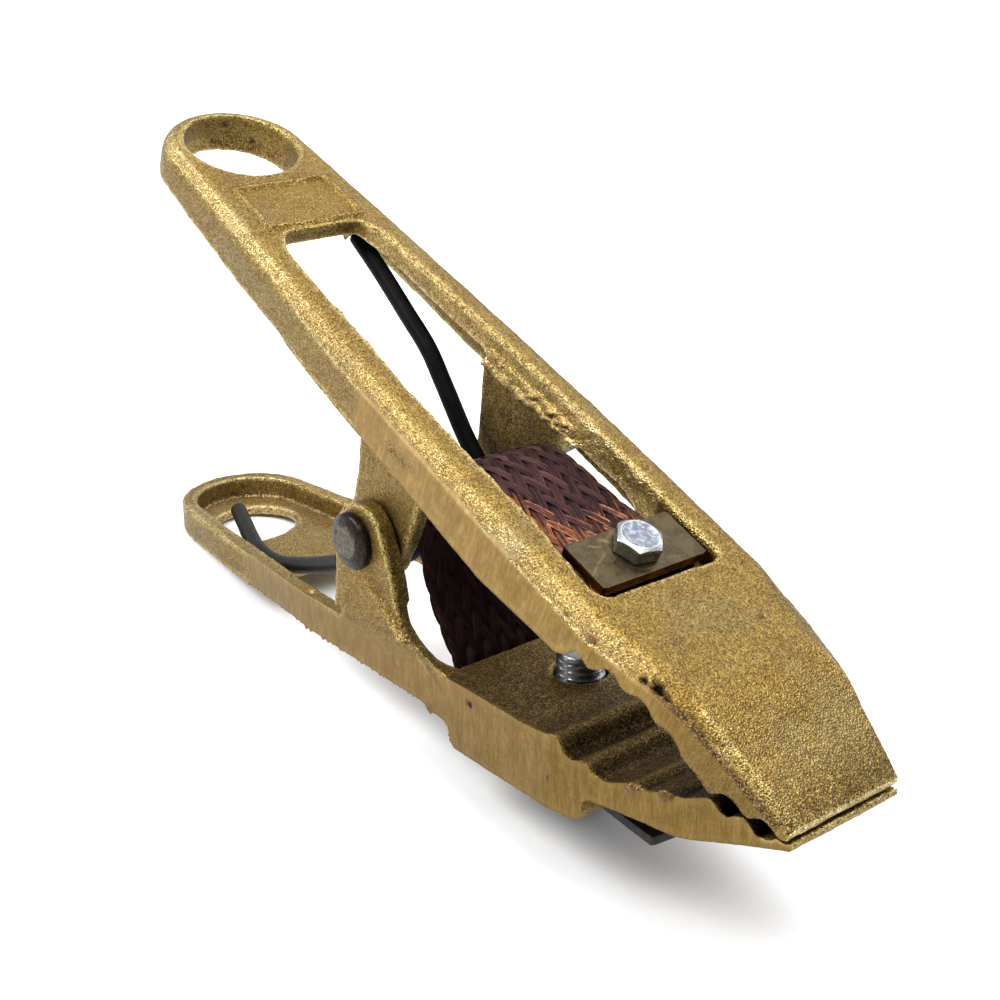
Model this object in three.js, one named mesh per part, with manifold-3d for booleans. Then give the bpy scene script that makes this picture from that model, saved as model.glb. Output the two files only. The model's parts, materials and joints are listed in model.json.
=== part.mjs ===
// Spring-loaded ground (earth) clamp, full-brass pattern.  Millimetres, +Z up.
//
// Two sand-cast brass levers share one riveted pivot.  A round-wire torsion
// spring on the pivot pushes the handles apart, which closes the jaws.  A flat
// copper braid carries the current from the upper jaw to the cable terminal
// under the lower jaw.  The clamp is drawn closed, standing as it does on a
// bench: on the head of the cable bolt and the back of the lower handle.
//
// Two working frames are used.  Both start at the pivot axis, with X towards
// the jaw tips and Y along the pivot:
//   lower frame: Z is normal to the flat deck of the lower jaw
//   upper frame: Z is normal to the flat top of the upper lever
import * as THREE from 'three';
import * as BufferGeometryUtils from 'three/addons/utils/BufferGeometryUtils.js';
import Module from 'manifold-3d';

const wasm = await Module();
wasm.setup();

// --------------------------------------------------------- shared dimensions
const CLOSED_ANGLE = 23.09;        // angle between the two levers, jaws shut (deg)
const REST_TILT = 9.07;            // lower frame leans back by this much (deg)
const GAP = 0.1;                   // running and seating gap between solids
const PIVOT_BORE_R = 4.3;

// spans that reach right through a lever, for blanks and cutters
const ACROSS = [-40, 40];          // along Y
const UPPER_SPAN = [10, 50];       // along Z, upper frame
const LOWER_SPAN = [-60, 0];       // along Z, lower frame

const STRAP_BOLT = { radius: 3, clearance: 3.3, acrossFlats: 10, head: 4, length: 16 };    // M6
const CABLE_BOLT = { radius: 6, clearance: 6.15, acrossFlats: 18, head: 7.5, length: 30 }; // M12
const STRAP_BOLT_X = 58.64;        // upper frame, on the centre line
const CABLE_BOLT_X = 51.5, CABLE_BOLT_Y = 0.8;   // lower frame

const LOWER_EAR_IN = 20.9, LOWER_EAR_OUT = 25.5; // faces of the outer ears, from y = 0
const BOSS_Z = -40.4;              // cable pad under the deck
const STRAP_PLATE = { x0: 51.85, x1: 66.0, halfWidth: 15.08, top: 39.84, thickness: 2.4 };
const BRAID = { y0: -15.6, y1: 12.8, thickness: 4.4, clampedThickness: 2.4 };
// ends measured from the bolt, yaw in degrees
const CABLE_PLATE = { back: 13.5, front: 40.0, halfWidth: 9.2, thickness: 2.3, yaw: -7 };
const LOCK_WASHER = { boreGap: 0.2, outerR: 10.2, thickness: 2.3 };

// stack under the cable pad, from the top down
const BRAID_PAD_TOP = BOSS_Z - GAP;
const CABLE_PLATE_TOP = BRAID_PAD_TOP - BRAID.clampedThickness - GAP;
const LOCK_WASHER_TOP = CABLE_PLATE_TOP - CABLE_PLATE.thickness - GAP;
const CABLE_HEAD_TOP = LOCK_WASHER_TOP - LOCK_WASHER.thickness - GAP;

// ------------------------------------------------------------ solids helpers
const rad = (degrees) => (degrees * Math.PI) / 180;

function solid(geometry) {
  geometry.deleteAttribute('normal');
  geometry.deleteAttribute('uv');
  const merged = BufferGeometryUtils.mergeVertices(geometry, 1e-4);
  return new wasm.Manifold(new wasm.Mesh({
    numProp: 3,
    vertProperties: new Float32Array(merged.attributes.position.array),
    triVerts: new Uint32Array(merged.index.array),
  }));
}

function geometryOf(shape) {
  const mesh = shape.getMesh();
  const positions = new Float32Array(mesh.vertProperties);
  const geometry = new THREE.BufferGeometry();
  geometry.setAttribute('position', new THREE.BufferAttribute(positions, 3));
  geometry.setIndex(new THREE.BufferAttribute(new Uint32Array(mesh.triVerts), 1));
  geometry.computeVertexNormals();
  return geometry;
}

const toShape = (outline) => new THREE.Shape(outline.map(([u, v]) => new THREE.Vector2(u, v)));

// plan outline (x, y) raised from z0 to z1, with rounded edges if round > 0
function plan(outline, z0, z1, round = 0) {
  const geometry = new THREE.ExtrudeGeometry(toShape(outline), {
    depth: z1 - z0 - 2 * round,
    bevelEnabled: round > 0,
    bevelThickness: round,
    bevelSize: round,
    bevelOffset: -round,
    bevelSegments: 3,
  });
  geometry.translate(0, 0, z0 + round);
  return solid(geometry);
}

// side outline (x, z) run from y0 to y1
function side(outline, y0, y1) {
  const geometry = new THREE.ExtrudeGeometry(toShape(outline), {
    depth: y1 - y0,
    bevelEnabled: false,
  });
  geometry.rotateX(Math.PI / 2);
  geometry.translate(0, y1, 0);
  return solid(geometry);
}

// side outline run between two distances from y = 0, on both sides
const sidePair = (outline, near, far) =>
  side(outline, -far, -near).add(side(outline, near, far));

// round post along Z
function post(radius, z0, z1, x, y, segments) {
  const geometry = new THREE.CylinderGeometry(radius, radius, z1 - z0, segments);
  geometry.rotateX(Math.PI / 2);
  geometry.translate(x, y, (z0 + z1) / 2);
  return solid(geometry);
}

// profile rows are [radius, height along the axis]
const lathe = (profile, segments) =>
  new THREE.LatheGeometry(profile.map(([r, h]) => new THREE.Vector2(r, h)), segments);
const turnedY = (profile, segments) => solid(lathe(profile, segments));
const turnedZ = (profile, segments) => solid(lathe(profile, segments).rotateX(Math.PI / 2));

// ring of rectangular section, as a closed lathe profile
const ringProfile = (inner, outer, low, high) =>
  [[inner, low], [outer, low], [outer, high], [inner, high], [inner, low]];

// cutters shared by several pieces
const pivotBore = () => {
  const length = ACROSS[1] - ACROSS[0];
  return solid(new THREE.CylinderGeometry(PIVOT_BORE_R, PIVOT_BORE_R, length, 32));
};
const strapBoltHole = () => post(STRAP_BOLT.clearance, ...UPPER_SPAN, STRAP_BOLT_X, 0, 24);
const cableBoltHole = (segments) =>
  post(CABLE_BOLT.clearance, ...LOWER_SPAN, CABLE_BOLT_X, CABLE_BOLT_Y, segments);

// ----------------------------------------------------------- outline helpers
const rectangle = (x0, x1, y0, y1) => [[x0, y0], [x1, y0], [x1, y1], [x0, y1]];

// angles in degrees
function arc(centreU, centreV, radius, start, end, steps) {
  const points = [];
  for (let i = 0; i <= steps; i++) {
    const angle = rad(start + ((end - start) * i) / steps);
    points.push([centreU + radius * Math.cos(angle), centreV + radius * Math.sin(angle)]);
  }
  return points;
}

// rounded handle end as [x, half width], from the -X extreme round to endAngle
const roundEnd = (centreX, reach, halfWidth, endAngle, steps) =>
  arc(0, 0, 1, 180, endAngle, steps).map(([x, y]) => [centreX + reach * x, -halfWidth * y]);

// mirror a half outline given as [x, half width] into a closed loop,
// dropping points that coincide on the centre line
const mirrored = (half) => [
  ...half.map(([x, width]) => [x, -width]),
  ...half.slice().reverse(),
].filter(([x, y], i, loop) => {
  const [lastX, lastY] = loop[(i + loop.length - 1) % loop.length];
  return Math.hypot(x - lastX, y - lastY) > 1e-3;
});

// half widths at the given x stations, set in from a half outline by a wall
const inset = (half, stations, wall) => stations.map((x) => {
  const i = half.findIndex(([end], k) => k > 0 && x <= end);
  const [x0, width0] = half[i - 1];
  const [x1, width1] = half[i];
  return [x, width0 + ((width1 - width0) * (x - x0)) / (x1 - x0) - wall];
});

// upper frame (x, z) to lower frame (x, z)
const cosClosed = Math.cos(rad(CLOSED_ANGLE));
const sinClosed = Math.sin(rad(CLOSED_ANGLE));
const upperToLower = (x, z) => [cosClosed * x + sinClosed * z, -sinClosed * x + cosClosed * z];

// --------------------------------------------------------------- upper lever
const UPPER_TOP_Z = 40.64;         // flat top
const UPPER_ROUND = 4.5;           // rounding of the long edges
const UPPER_END = { x: -110, reach: 19.3, halfWidth: 20.6 };   // elliptical handle end
const UPPER_WALL = 2.2;
const UPPER_EAR_IN = 16.2, UPPER_EAR_OUT = 20.4;
const GUSSET_IN = 16.9, GUSSET_OUT = 22.6;
const RECESS_Z = 34.2;             // floor of the strap plate recess
const HANG_HOLE_X = -109.55, HANG_HOLE_R = 15.1;
// rectangular border on the handle; the long bars lap into the end bars
const BORDER = { x0: -89.7, x1: -70.6, halfWidth: 14.2, bar: 1, lap: 0.1, rise: 0.35, root: 1 };

// [x, half width] of the lever ahead of its rounded end
const UPPER_HALF = [
  [-90, 21.5], [-70, 22.6], [-50, 23.4], [-30, 24.1], [-10, 24.9], [10, 25.4],
  [30, 25.8], [74, 25.8], [101, 20.6], [128, 16.1],
];
// [x, half width] of the through window
const UPPER_WINDOW = [
  [-68.7, 9.2], [-68.2, 10.9], [-66.6, 11.9], [-62.9, 13.8], [-56.5, 14.8],
  [-40, 15.4], [-26, 15.9], [-7.3, 16.8], [20.6, 17.4], [50, 16.6],
];
// [x, z] of the underside and jaw face, handle end to tip
const UPPER_UNDER = [
  [-133, 29.4], [-111.3, 29.4], [-104.8, 29.1], [-99.4, 28.4], [-71.3, 27.2],
  [-46.5, 26.6], [-30, 25.8], [17.6, 25.5], [32.1, 25.0], [42.1, 24.6],
  [56.2, 26.1], [67.9, 27.1], [70.4, 29.2], [72.1, 32.2], [74.3, 32.2],
  [76.2, 30.8], [78.2, 31.6], [80.1, 34.1], [82.4, 34.4], [84.6, 32.6],
  [86.2, 32.3], [88.5, 33.5], [91, 33.3], [93, 31.6], [94.6, 30.7],
  [97.0, 31.4], [99.2, 30.6], [101.1, 29.0], [102.6, 27.6], [105, 27.4],
  [107.4, 26.8], [109.2, 25.6], [110.6, 25.6], [112.1, 27.6], [114.1, 28.5],
  [116.2, 28.0], [117.7, 27.2], [119.3, 27.2], [120.6, 29.0], [122.3, 29.8],
  [124.3, 29.4], [125.8, 28.45], [127.0, 28.9], [129, 29.4],
];
// [x, z] of the top, tip back to the handle end, clear above the flat
const UPPER_TOP = [
  [129, 31.6], [127.2, 32.2], [124, 33.4], [119, 34.8], [113, 36.5], [107, 38.5],
  [102, 39.9], [97, UPPER_TOP_Z], [97, 46], [-133, 46],
];
// hollow underside: [x, half width] of its handle end, stations of the rest,
// and [x, z] of its length profile
const CHANNEL_END = [[-87, 12], [-84.5, 15.4], [-80, 17.4]];
const CHANNEL_STATIONS = [-70, -50, -30, -10, 10, 30, 46];
const CHANNEL_PROFILE = [
  [-90, 5], [-90, 35.9], [-68.6, 36.1], [-62, 34.4], [-35, 34.2], [-17, 34.5],
  [-5, 33.5], [24, 32.4], [28, 32.5], [35, 33.2], [41, 32], [45, 28], [46.5, 5],
];
// [x, y] of the strap plate recess
const RECESS = [
  [49, -16.4], [51.6, -17.3], [60, -17.8], [66, -18.2], [67.8, -17.3], [68.8, -15.4],
  [69.0, 13.6], [68.2, 15.6], [66.6, 16.4], [49, 16.4],
];
// [x, z] of the ears that reach down to the pivot
const UPPER_EAR = [
  [-16.8, 33], [-15.2, 26.5], [-13.2, 20], [-11.6, 14], [-10.7, 8],
  ...arc(0.4, 0, 10.8, 170, 365, 16),
  [12.2, 8], [12.7, 14], [12.5, 18.5], [14, 22.5], [17.6, 25.8], [22.5, 33],
];
// [x, z] of the gusset between an ear and the rail above it
const GUSSET = [[-15.6, 34], [-14.6, 24.6], [-9, 22.6], [8, 22.6], [14, 24.6], [18, 34]];

function addBorder(body) {
  const { x0, x1, halfWidth, bar, lap, rise, root } = BORDER;
  const longX0 = x0 + bar - lap;
  const longX1 = x1 - bar + lap;
  const bars = [
    rectangle(x0, x0 + bar, -halfWidth, halfWidth),
    rectangle(x1 - bar, x1, -halfWidth, halfWidth),
    rectangle(longX0, longX1, -halfWidth, -halfWidth + bar),
    rectangle(longX0, longX1, halfWidth - bar, halfWidth),
  ];
  return bars.reduce(
    (sum, outline) => sum.add(plan(outline, UPPER_TOP_Z - root, UPPER_TOP_Z + rise)), body);
}

function makeUpperJaw() {
  const { x, reach, halfWidth } = UPPER_END;
  const outline = mirrored([...roundEnd(x, reach, halfWidth, 270, 10), ...UPPER_HALF]);
  const channelHalf = [...CHANNEL_END, ...inset(UPPER_HALF, CHANNEL_STATIONS, UPPER_WALL)];
  const channel = plan(mirrored(channelHalf), ...UPPER_SPAN)
    .intersect(side(CHANNEL_PROFILE, ...ACROSS));

  const body = plan(outline, UPPER_SPAN[0], UPPER_TOP_Z, UPPER_ROUND)
    .intersect(side([...UPPER_UNDER, ...UPPER_TOP], ...ACROSS))
    .subtract(channel)
    .subtract(plan(mirrored(UPPER_WINDOW), ...UPPER_SPAN))
    .subtract(plan(RECESS, RECESS_Z, UPPER_SPAN[1]))
    .subtract(post(HANG_HOLE_R, ...UPPER_SPAN, HANG_HOLE_X, 0, 40))
    .subtract(strapBoltHole())
    .add(sidePair(UPPER_EAR, UPPER_EAR_IN, UPPER_EAR_OUT))
    .add(sidePair(GUSSET, GUSSET_IN, GUSSET_OUT))
    .subtract(pivotBore());
  return addBorder(body);
}

// --------------------------------------------------------------- lower lever
const DECK_Z = -23.0;              // flat deck and tray rim
const LOWER_END = { x: -94.2, radius: 19.4 };    // round handle end
const TRAY_FLOOR_Z = -29.2;
const TRAY_WALL = 4.3;
const TRAY_FRONT_HALF = 20.6;      // half width of tray and window past the pivot
const WINDOW_BACK_X = -51.5, WINDOW_FRONT_X = 32.7;
const FOOT_CUT_TOP = -12;

// [x, half width] of the lever ahead of its rounded end
const LOWER_HALF = [
  [-76, 21.5], [-60, 22.5], [-48, 23.4], [-34, 24.6], [-24, 25.1],
  [48, 25.4], [70, 25.3], [100, 20.5], [130.3, 15.9],
];
// [x, z] of the jaw face and deck, tip to handle end
const LOWER_TOP = [
  [132, -23.9], [130.3, -23.7], [128.6, -24.2], [127.0, -23.9], [125.6, -24.7],
  [124.0, -25.4], [122.2, -25.0], [120.4, -22.9], [118.8, -22.2], [117.2, -22.6],
  [115.3, -23.8], [113.7, -23.3], [112.3, -21.5], [110.8, -21.2], [107.5, -22.6],
  [104.5, -23.9], [101.5, -23.9], [98.0, -25.2], [95.3, -25.9], [92.8, -25.0],
  [89.4, -26.4], [86, -27.7], [82.6, -27.6], [80.6, -25.8], [78.8, -25.4],
  [76.3, -26.4], [74.2, -25.2], [73.0, -22.6], [71.6, -21.8], [69, -22.4],
  [64, DECK_Z], [-120, DECK_Z],
];
// [x, z] of the underside, handle end to tip
const LOWER_UNDER = [
  [-120, -25.6], [-112.8, -27.2], [-110.2, -29.4], [-106.2, -31.2], [-100, -32],
  [-32, -32], [-24, -32.6], [24, -33.2], [34.4, -35], [35.8, -39.6],
  [37.4, BOSS_Z], [74.9, BOSS_Z], [78.2, -40.2], [79.3, -38], [79.2, -35.4],
  [81, -33.9], [90, -33.6], [103.4, -33.3], [108.9, -31.8], [116.3, -29.2],
  [122.1, -27.4], [127.6, -25.7], [132, -24.7],
];
// [x, y] of the D-shaped hole in the tray floor
const D_HOLE = [
  ...arc(-88.4, -1.5, 11.9, 42, 305, 18),
  [-76.2, -8.6], [-75.2, -6.2], [-76.3, 0.6],
];
// [x, z] of the ears outside those of the upper lever
const LOWER_EAR = [
  [-8.4, -30], [-8.4, 0], [-7.4, 4], [-5, 7.2], [-1.5, 9.2], [2.5, 9.8], [6, 9],
  [8.8, 6.9], [10.9, 3.5], [12.3, 0.2], [14.6, -5.6], [16.2, -12.8], [17.8, -16.2],
  [21.2, -18.9], [25.5, -20.8], [30.5, -22.1], [36, -23.2], [36, -30],
];
// [x, half width] where the window runs a little under the feet of the ears
const FOOT_CUT = [
  [13, 20.7], [15, 21.9], [17, 22.2], [28, 22.2], [31.2, 21.5], [WINDOW_FRONT_X, 20.2],
];

function makeLowerJaw() {
  const { x, radius } = LOWER_END;
  const trayRadius = radius - TRAY_WALL;
  const outline = mirrored([...roundEnd(x, radius, radius, 265, 10), ...LOWER_HALF]);
  const tray = [
    ...roundEnd(x, trayRadius, trayRadius, 262, 8),
    ...inset(LOWER_HALF, [-76, -60, -48, -34, -20], TRAY_WALL),
    [20, TRAY_FRONT_HALF], [WINDOW_FRONT_X, TRAY_FRONT_HALF],
  ];
  const floorWindow = [
    [WINDOW_BACK_X, 17], [-50, 18.6],
    ...inset(LOWER_HALF, [-48, -34, -20], TRAY_WALL),
    [20, TRAY_FRONT_HALF], [WINDOW_FRONT_X - 2, TRAY_FRONT_HALF], [WINDOW_FRONT_X, 19],
  ];

  return plan(outline, ...LOWER_SPAN)
    .intersect(side([...LOWER_TOP, ...LOWER_UNDER], ...ACROSS))
    .subtract(plan(mirrored(tray), TRAY_FLOOR_Z, LOWER_SPAN[1]))
    .subtract(plan(mirrored(floorWindow), ...LOWER_SPAN))
    .subtract(plan(D_HOLE, ...LOWER_SPAN))
    .add(sidePair(LOWER_EAR, LOWER_EAR_IN, LOWER_EAR_OUT))
    .subtract(plan(mirrored(FOOT_CUT), LOWER_SPAN[0], FOOT_CUT_TOP))
    .subtract(pivotBore())
    .subtract(cableBoltHole(32));
}

// ---------------------------------------------------------------- hex bolts
const HEAD_CHAMFER = { drop: 0.9, inset: 0.3 };  // inset is from half the flats
const SHANK_CHAMFER = 1.0;
const SHANK_ROOT = 0.5;            // shank overlap into the head

// underside of the head at z = 0, head up, shank down; turn in degrees
function makeHexBolt({ radius, acrossFlats, head, length }, turn) {
  const cornerR = acrossFlats / Math.sqrt(3);
  const chamferR = acrossFlats / 2 - HEAD_CHAMFER.inset;
  const outerR = cornerR + 1;
  const coneTop = head + 0.01;     // just clear of the head
  const cone = turnedZ([
    [0, -1], [outerR, -1], [outerR, head - HEAD_CHAMFER.drop], [chamferR, coneTop], [0, coneTop],
  ], 32);
  const shank = turnedZ([
    [0, -length], [radius - SHANK_CHAMFER, -length], [radius, -length + SHANK_CHAMFER],
    [radius, SHANK_ROOT], [0, SHANK_ROOT],
  ], 28);
  const hexagon = arc(0, 0, cornerR, turn, turn + 300, 5);
  return plan(hexagon, 0, head).intersect(cone).add(shank);
}

// ------------------------------------------------------------- pivot fittings
const PIN_R = 4.0;
const RIVET_HEAD_R = 7.05;
const RIVET_HEAD_T = 2.0;
const PIVOT_WASHER = { thickness: 0.8, earGap: 0.04, boreGap: 0.15 };

// full head at -Y, smaller head over the washer at +Y
function makeRivet() {
  const seat = LOWER_EAR_OUT + GAP;
  const end = seat + RIVET_HEAD_T;
  const washerSeat = seat + PIVOT_WASHER.thickness;
  const smallHeadR = RIVET_HEAD_R - 1.2;
  return turnedY([
    [0, -end], [RIVET_HEAD_R - 1.4, -end], [RIVET_HEAD_R - 0.5, -end + 0.5],
    [RIVET_HEAD_R, -end + 1.1], [RIVET_HEAD_R, -seat], [PIN_R, -seat],
    [PIN_R, washerSeat], [smallHeadR, washerSeat], [smallHeadR, seat + 1.5],
    [RIVET_HEAD_R - 2.4, end], [0, end],
  ], 36);
}

function makePivotWasher() {
  const { thickness, earGap, boreGap } = PIVOT_WASHER;
  const y0 = LOWER_EAR_OUT + earGap;
  return turnedY(ringProfile(PIN_R + boreGap, RIVET_HEAD_R, y0, y0 + thickness), 36);
}

// ------------------------------------------------------ terminal plates, washer
function makeStrapPlate() {
  const { x0, x1, halfWidth, top, thickness } = STRAP_PLATE;
  return plan(rectangle(x0, x1, -halfWidth, halfWidth), top - thickness, top)
    .subtract(strapBoltHole());
}

function makeCablePlate() {
  const { back, front, halfWidth, thickness, yaw } = CABLE_PLATE;
  const outline = rectangle(-back, front, -halfWidth, halfWidth);
  return plan(outline, CABLE_PLATE_TOP - thickness, CABLE_PLATE_TOP)
    .rotate([0, 0, yaw])
    .translate([CABLE_BOLT_X, CABLE_BOLT_Y, 0])
    .subtract(cableBoltHole(32));
}

// split ring of rectangular section, with a narrow slanting slot on its +Y side
function makeLockWasher() {
  const { boreGap, outerR, thickness } = LOCK_WASHER;
  const z1 = LOCK_WASHER_TOP;
  const z0 = z1 - thickness;
  const ring = turnedZ(ringProfile(CABLE_BOLT.radius + boreGap, outerR, z0, z1), 36);
  const slot = side([[3, z0 - 1], [4.2, z0 - 1], [5.4, z1 + 1], [4.2, z1 + 1]], 0, 14);
  return ring.subtract(slot).translate([CABLE_BOLT_X, CABLE_BOLT_Y, 0]);
}

// ---------------------------------------------------------------------- braid
const STRAP_PAD_MID =
  STRAP_PLATE.top - STRAP_PLATE.thickness - GAP - BRAID.clampedThickness / 2;
const CABLE_PAD_MID = BRAID_PAD_TOP - BRAID.clampedThickness / 2;

// centre line rows are [x, z, thickness]; strap plate down to the bend, upper frame
const BRAID_UPPER_LINE = [
  [65.6, STRAP_PAD_MID, BRAID.clampedThickness], [52.6, STRAP_PAD_MID, BRAID.clampedThickness],
  [50.0, 35.8, 2.8], [47.6, 35.0, 3.4], [45, 34.3, 4.0],
  [38, 33.3, BRAID.thickness], [32, 32.6, BRAID.thickness], [26, 31.9, BRAID.thickness],
  [20, 30.3, BRAID.thickness], [16, 27.9, BRAID.thickness],
];
// past the pivot to the cable plate, lower frame
const BRAID_LOWER_LINE = [
  [20.8, 16.6, BRAID.thickness], [16.6, 11.6, BRAID.thickness], [14.0, 6, BRAID.thickness],
  [13.1, 0, BRAID.thickness], [13.7, -5, BRAID.thickness], [15.2, -10, BRAID.thickness],
  [17.2, -14.5, BRAID.thickness], [20.0, -19, BRAID.thickness], [23.2, -23.5, BRAID.thickness],
  [26.2, -28, BRAID.thickness], [28.3, -33, BRAID.thickness],
  [29.6, -37.5, 4.0], [32.0, -40.8, 3.4], [35.6, BRAID_PAD_TOP - 1.35, 2.6],
  [38.5, CABLE_PAD_MID, BRAID.clampedThickness], [66.5, CABLE_PAD_MID, BRAID.clampedThickness],
];

function makeBraid() {
  const line = [
    ...BRAID_UPPER_LINE.map(([x, z, thickness]) => [...upperToLower(x, z), thickness]),
    ...BRAID_LOWER_LINE,
  ];
  const left = [];
  const right = [];
  line.forEach(([x, z, thickness], i) => {
    const before = line[Math.max(0, i - 1)];
    const after = line[Math.min(line.length - 1, i + 1)];
    const runX = after[0] - before[0];
    const runZ = after[1] - before[1];
    const run = Math.hypot(runX, runZ);
    const offsetX = ((runZ / run) * thickness) / 2;
    const offsetZ = ((runX / run) * thickness) / 2;
    left.push([x - offsetX, z + offsetZ]);
    right.push([x + offsetX, z - offsetZ]);
  });
  return side([...left, ...right.reverse()], BRAID.y0, BRAID.y1)
    .subtract(cableBoltHole(24))
    .subtract(strapBoltHole().rotate([0, CLOSED_ANGLE, 0]));
}

// -------------------------------------------------------------- torsion spring
const WIRE_R = 2.3;
const COIL_R = 6.75;               // mean radius of the coil
const COIL_Y = 12.4;               // coil runs from -COIL_Y to +COIL_Y
const COIL_TURNS = 4;              // whole turns, plus the angle between legs
const COIL_START = -68.5, COIL_END = 42.5;       // leg angles about the pivot (deg)

// [x, y, z] along the lower leg, handle to coil, lower frame
const LOWER_LEG = [
  [-94.2, -3.9, -26.7], [-83.4, -8.1, -26.7], [-73.3, -12.1, -26.7], [-65, -14.9, -26.7],
  [-57.5, -15.9, -26.7], [-51, -16.1, -26.0], [-45.4, -15.6, -24.6], [-35, -14.8, -21.3],
  [-24.5, -13.9, -17.3], [-13, -12.9, -12.7],
];
// [x, y, z] along the upper leg, coil to handle, upper frame
const UPPER_LEG = [
  [-12.1, 12.6, 12.8], [-18.7, 12.7, 16.5], [-25.3, 12.9, 20.1], [-33.2, 13.2, 24.0],
  [-45.6, 13.9, 26.8], [-60.2, 14.6, 30.1], [-72.6, 15.0, 32.5],
];

function makeSpring() {
  const points = LOWER_LEG.map((point) => new THREE.Vector3(...point));
  const sweep = COIL_END + 360 * COIL_TURNS - COIL_START;
  const coilSteps = 22 * COIL_TURNS + 6;
  for (let i = 0; i <= coilSteps; i++) {
    const along = i / coilSteps;
    const angle = rad(COIL_START + sweep * along);
    const y = -COIL_Y + 2 * COIL_Y * along;
    points.push(new THREE.Vector3(COIL_R * Math.cos(angle), y, COIL_R * Math.sin(angle)));
  }
  for (const [x, y, z] of UPPER_LEG) {
    const [lowerX, lowerZ] = upperToLower(x, z);
    points.push(new THREE.Vector3(lowerX, y, lowerZ));
  }
  const wire = new THREE.Shape();
  wire.absarc(0, 0, WIRE_R, 0, Math.PI * 2, false);
  return solid(new THREE.ExtrudeGeometry(wire, {
    steps: 140,
    curveSegments: 4,
    bevelEnabled: false,
    extrudePath: new THREE.CatmullRomCurve3(points, false, 'centripetal'),
  }));
}

// ------------------------------------------------------------------ materials
const metal = (settings) => new THREE.MeshStandardMaterial(settings);
const brass = metal({ color: 0xb08d3e, roughness: 0.5, metalness: 1.0 });
const darkBronze = metal({ color: 0x5a4a2a, roughness: 0.5, metalness: 1.0 });
const zinc = metal({ color: 0xc3c8cf, roughness: 0.3, metalness: 1.0 });
const darkSteel = metal({ color: 0x3a3836, roughness: 0.45, metalness: 1.0 });
const springSteel = metal({ color: 0x1d1d1f, roughness: 0.5, metalness: 0.6 });
const copper = metal({ color: 0x5a3026, roughness: 0.55, metalness: 0.9 });
const blackSteel = metal({ color: 0x1c1a1a, roughness: 0.6, metalness: 0.8 });

// ------------------------------------------------------------------- assembly
function addPiece(group, name, shape, material) {
  const mesh = new THREE.Mesh(geometryOf(shape), material);
  mesh.name = name;
  group.add(mesh);
  return mesh;
}

const clamp = new THREE.Group();
const lower = new THREE.Group();       // lower frame
const upper = new THREE.Group();       // upper frame
lower.rotation.y = -rad(REST_TILT);
upper.rotation.y = rad(CLOSED_ANGLE);
lower.add(upper);
clamp.add(lower);

addPiece(lower, 'lower_jaw', makeLowerJaw(), brass);
addPiece(lower, 'pivot_rivet', makeRivet(), darkSteel);
addPiece(lower, 'pivot_washer', makePivotWasher(), darkSteel);
addPiece(lower, 'torsion_spring', makeSpring(), springSteel);
addPiece(lower, 'copper_braid', makeBraid(), copper);
addPiece(lower, 'cable_plate', makeCablePlate(), blackSteel);
addPiece(lower, 'cable_lock_washer', makeLockWasher(), zinc);
const cableBolt = addPiece(lower, 'cable_bolt', makeHexBolt(CABLE_BOLT, 10), zinc);
cableBolt.rotation.x = Math.PI;        // head down
cableBolt.position.set(CABLE_BOLT_X, CABLE_BOLT_Y, CABLE_HEAD_TOP);

addPiece(upper, 'upper_jaw', makeUpperJaw(), brass);
addPiece(upper, 'strap_plate', makeStrapPlate(), darkBronze);
const strapBolt = addPiece(upper, 'strap_bolt', makeHexBolt(STRAP_BOLT, 19.4), zinc);
strapBolt.position.set(STRAP_BOLT_X, 0, STRAP_PLATE.top + GAP);

// stand the clamp on z = 0 with the origin under the middle of its outline
clamp.updateMatrixWorld(true);
const bounds = new THREE.Box3().setFromObject(clamp, true);
const middle = bounds.getCenter(new THREE.Vector3());
clamp.position.set(-middle.x, -middle.y, -bounds.min.z);
clamp.updateMatrixWorld(true);

export default clamp;
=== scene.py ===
# A spring clamp of two cast-brass levers, closed by a torsion spring on a riveted pivot.
# A copper braid runs over the spring from a bolted strap plate on the upper lever to a
# bolted cable plate under the lower one. The jaws point to +x and the handles to -x, and
# the pivot lies along y. The camera is on the -y side, so "near" is -y and "far" is +y.
# Lengths are millimetres in the frame of one lever, unless a name says otherwise.
import bpy
import bmesh
import json
import math
import numpy as np
from mathutils import Matrix, Vector


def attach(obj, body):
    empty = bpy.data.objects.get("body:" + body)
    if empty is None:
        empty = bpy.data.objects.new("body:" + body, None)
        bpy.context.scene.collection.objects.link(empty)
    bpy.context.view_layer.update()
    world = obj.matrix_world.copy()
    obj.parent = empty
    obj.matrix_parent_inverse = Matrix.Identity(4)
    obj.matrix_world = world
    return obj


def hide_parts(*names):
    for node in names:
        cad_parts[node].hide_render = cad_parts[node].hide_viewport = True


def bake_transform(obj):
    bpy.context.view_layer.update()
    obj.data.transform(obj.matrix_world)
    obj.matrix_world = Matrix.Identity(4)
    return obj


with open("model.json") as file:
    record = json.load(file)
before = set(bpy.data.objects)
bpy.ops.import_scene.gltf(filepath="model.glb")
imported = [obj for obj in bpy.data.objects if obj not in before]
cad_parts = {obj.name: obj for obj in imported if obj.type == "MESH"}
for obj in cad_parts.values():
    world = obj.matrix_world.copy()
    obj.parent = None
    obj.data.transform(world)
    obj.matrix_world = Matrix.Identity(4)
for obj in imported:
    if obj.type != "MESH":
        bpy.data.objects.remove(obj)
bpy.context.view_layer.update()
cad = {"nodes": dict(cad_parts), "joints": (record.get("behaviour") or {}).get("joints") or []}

# ================================================================ frames
MM = 0.001                                  # metres in a millimetre
PIVOT = np.array(cad["joints"][0]["pos_m"], float)
TILT = math.radians(-9.07)                  # lower lever against the floor
CLOSED = math.radians(23.09)                # upper lever against the lower one


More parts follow.
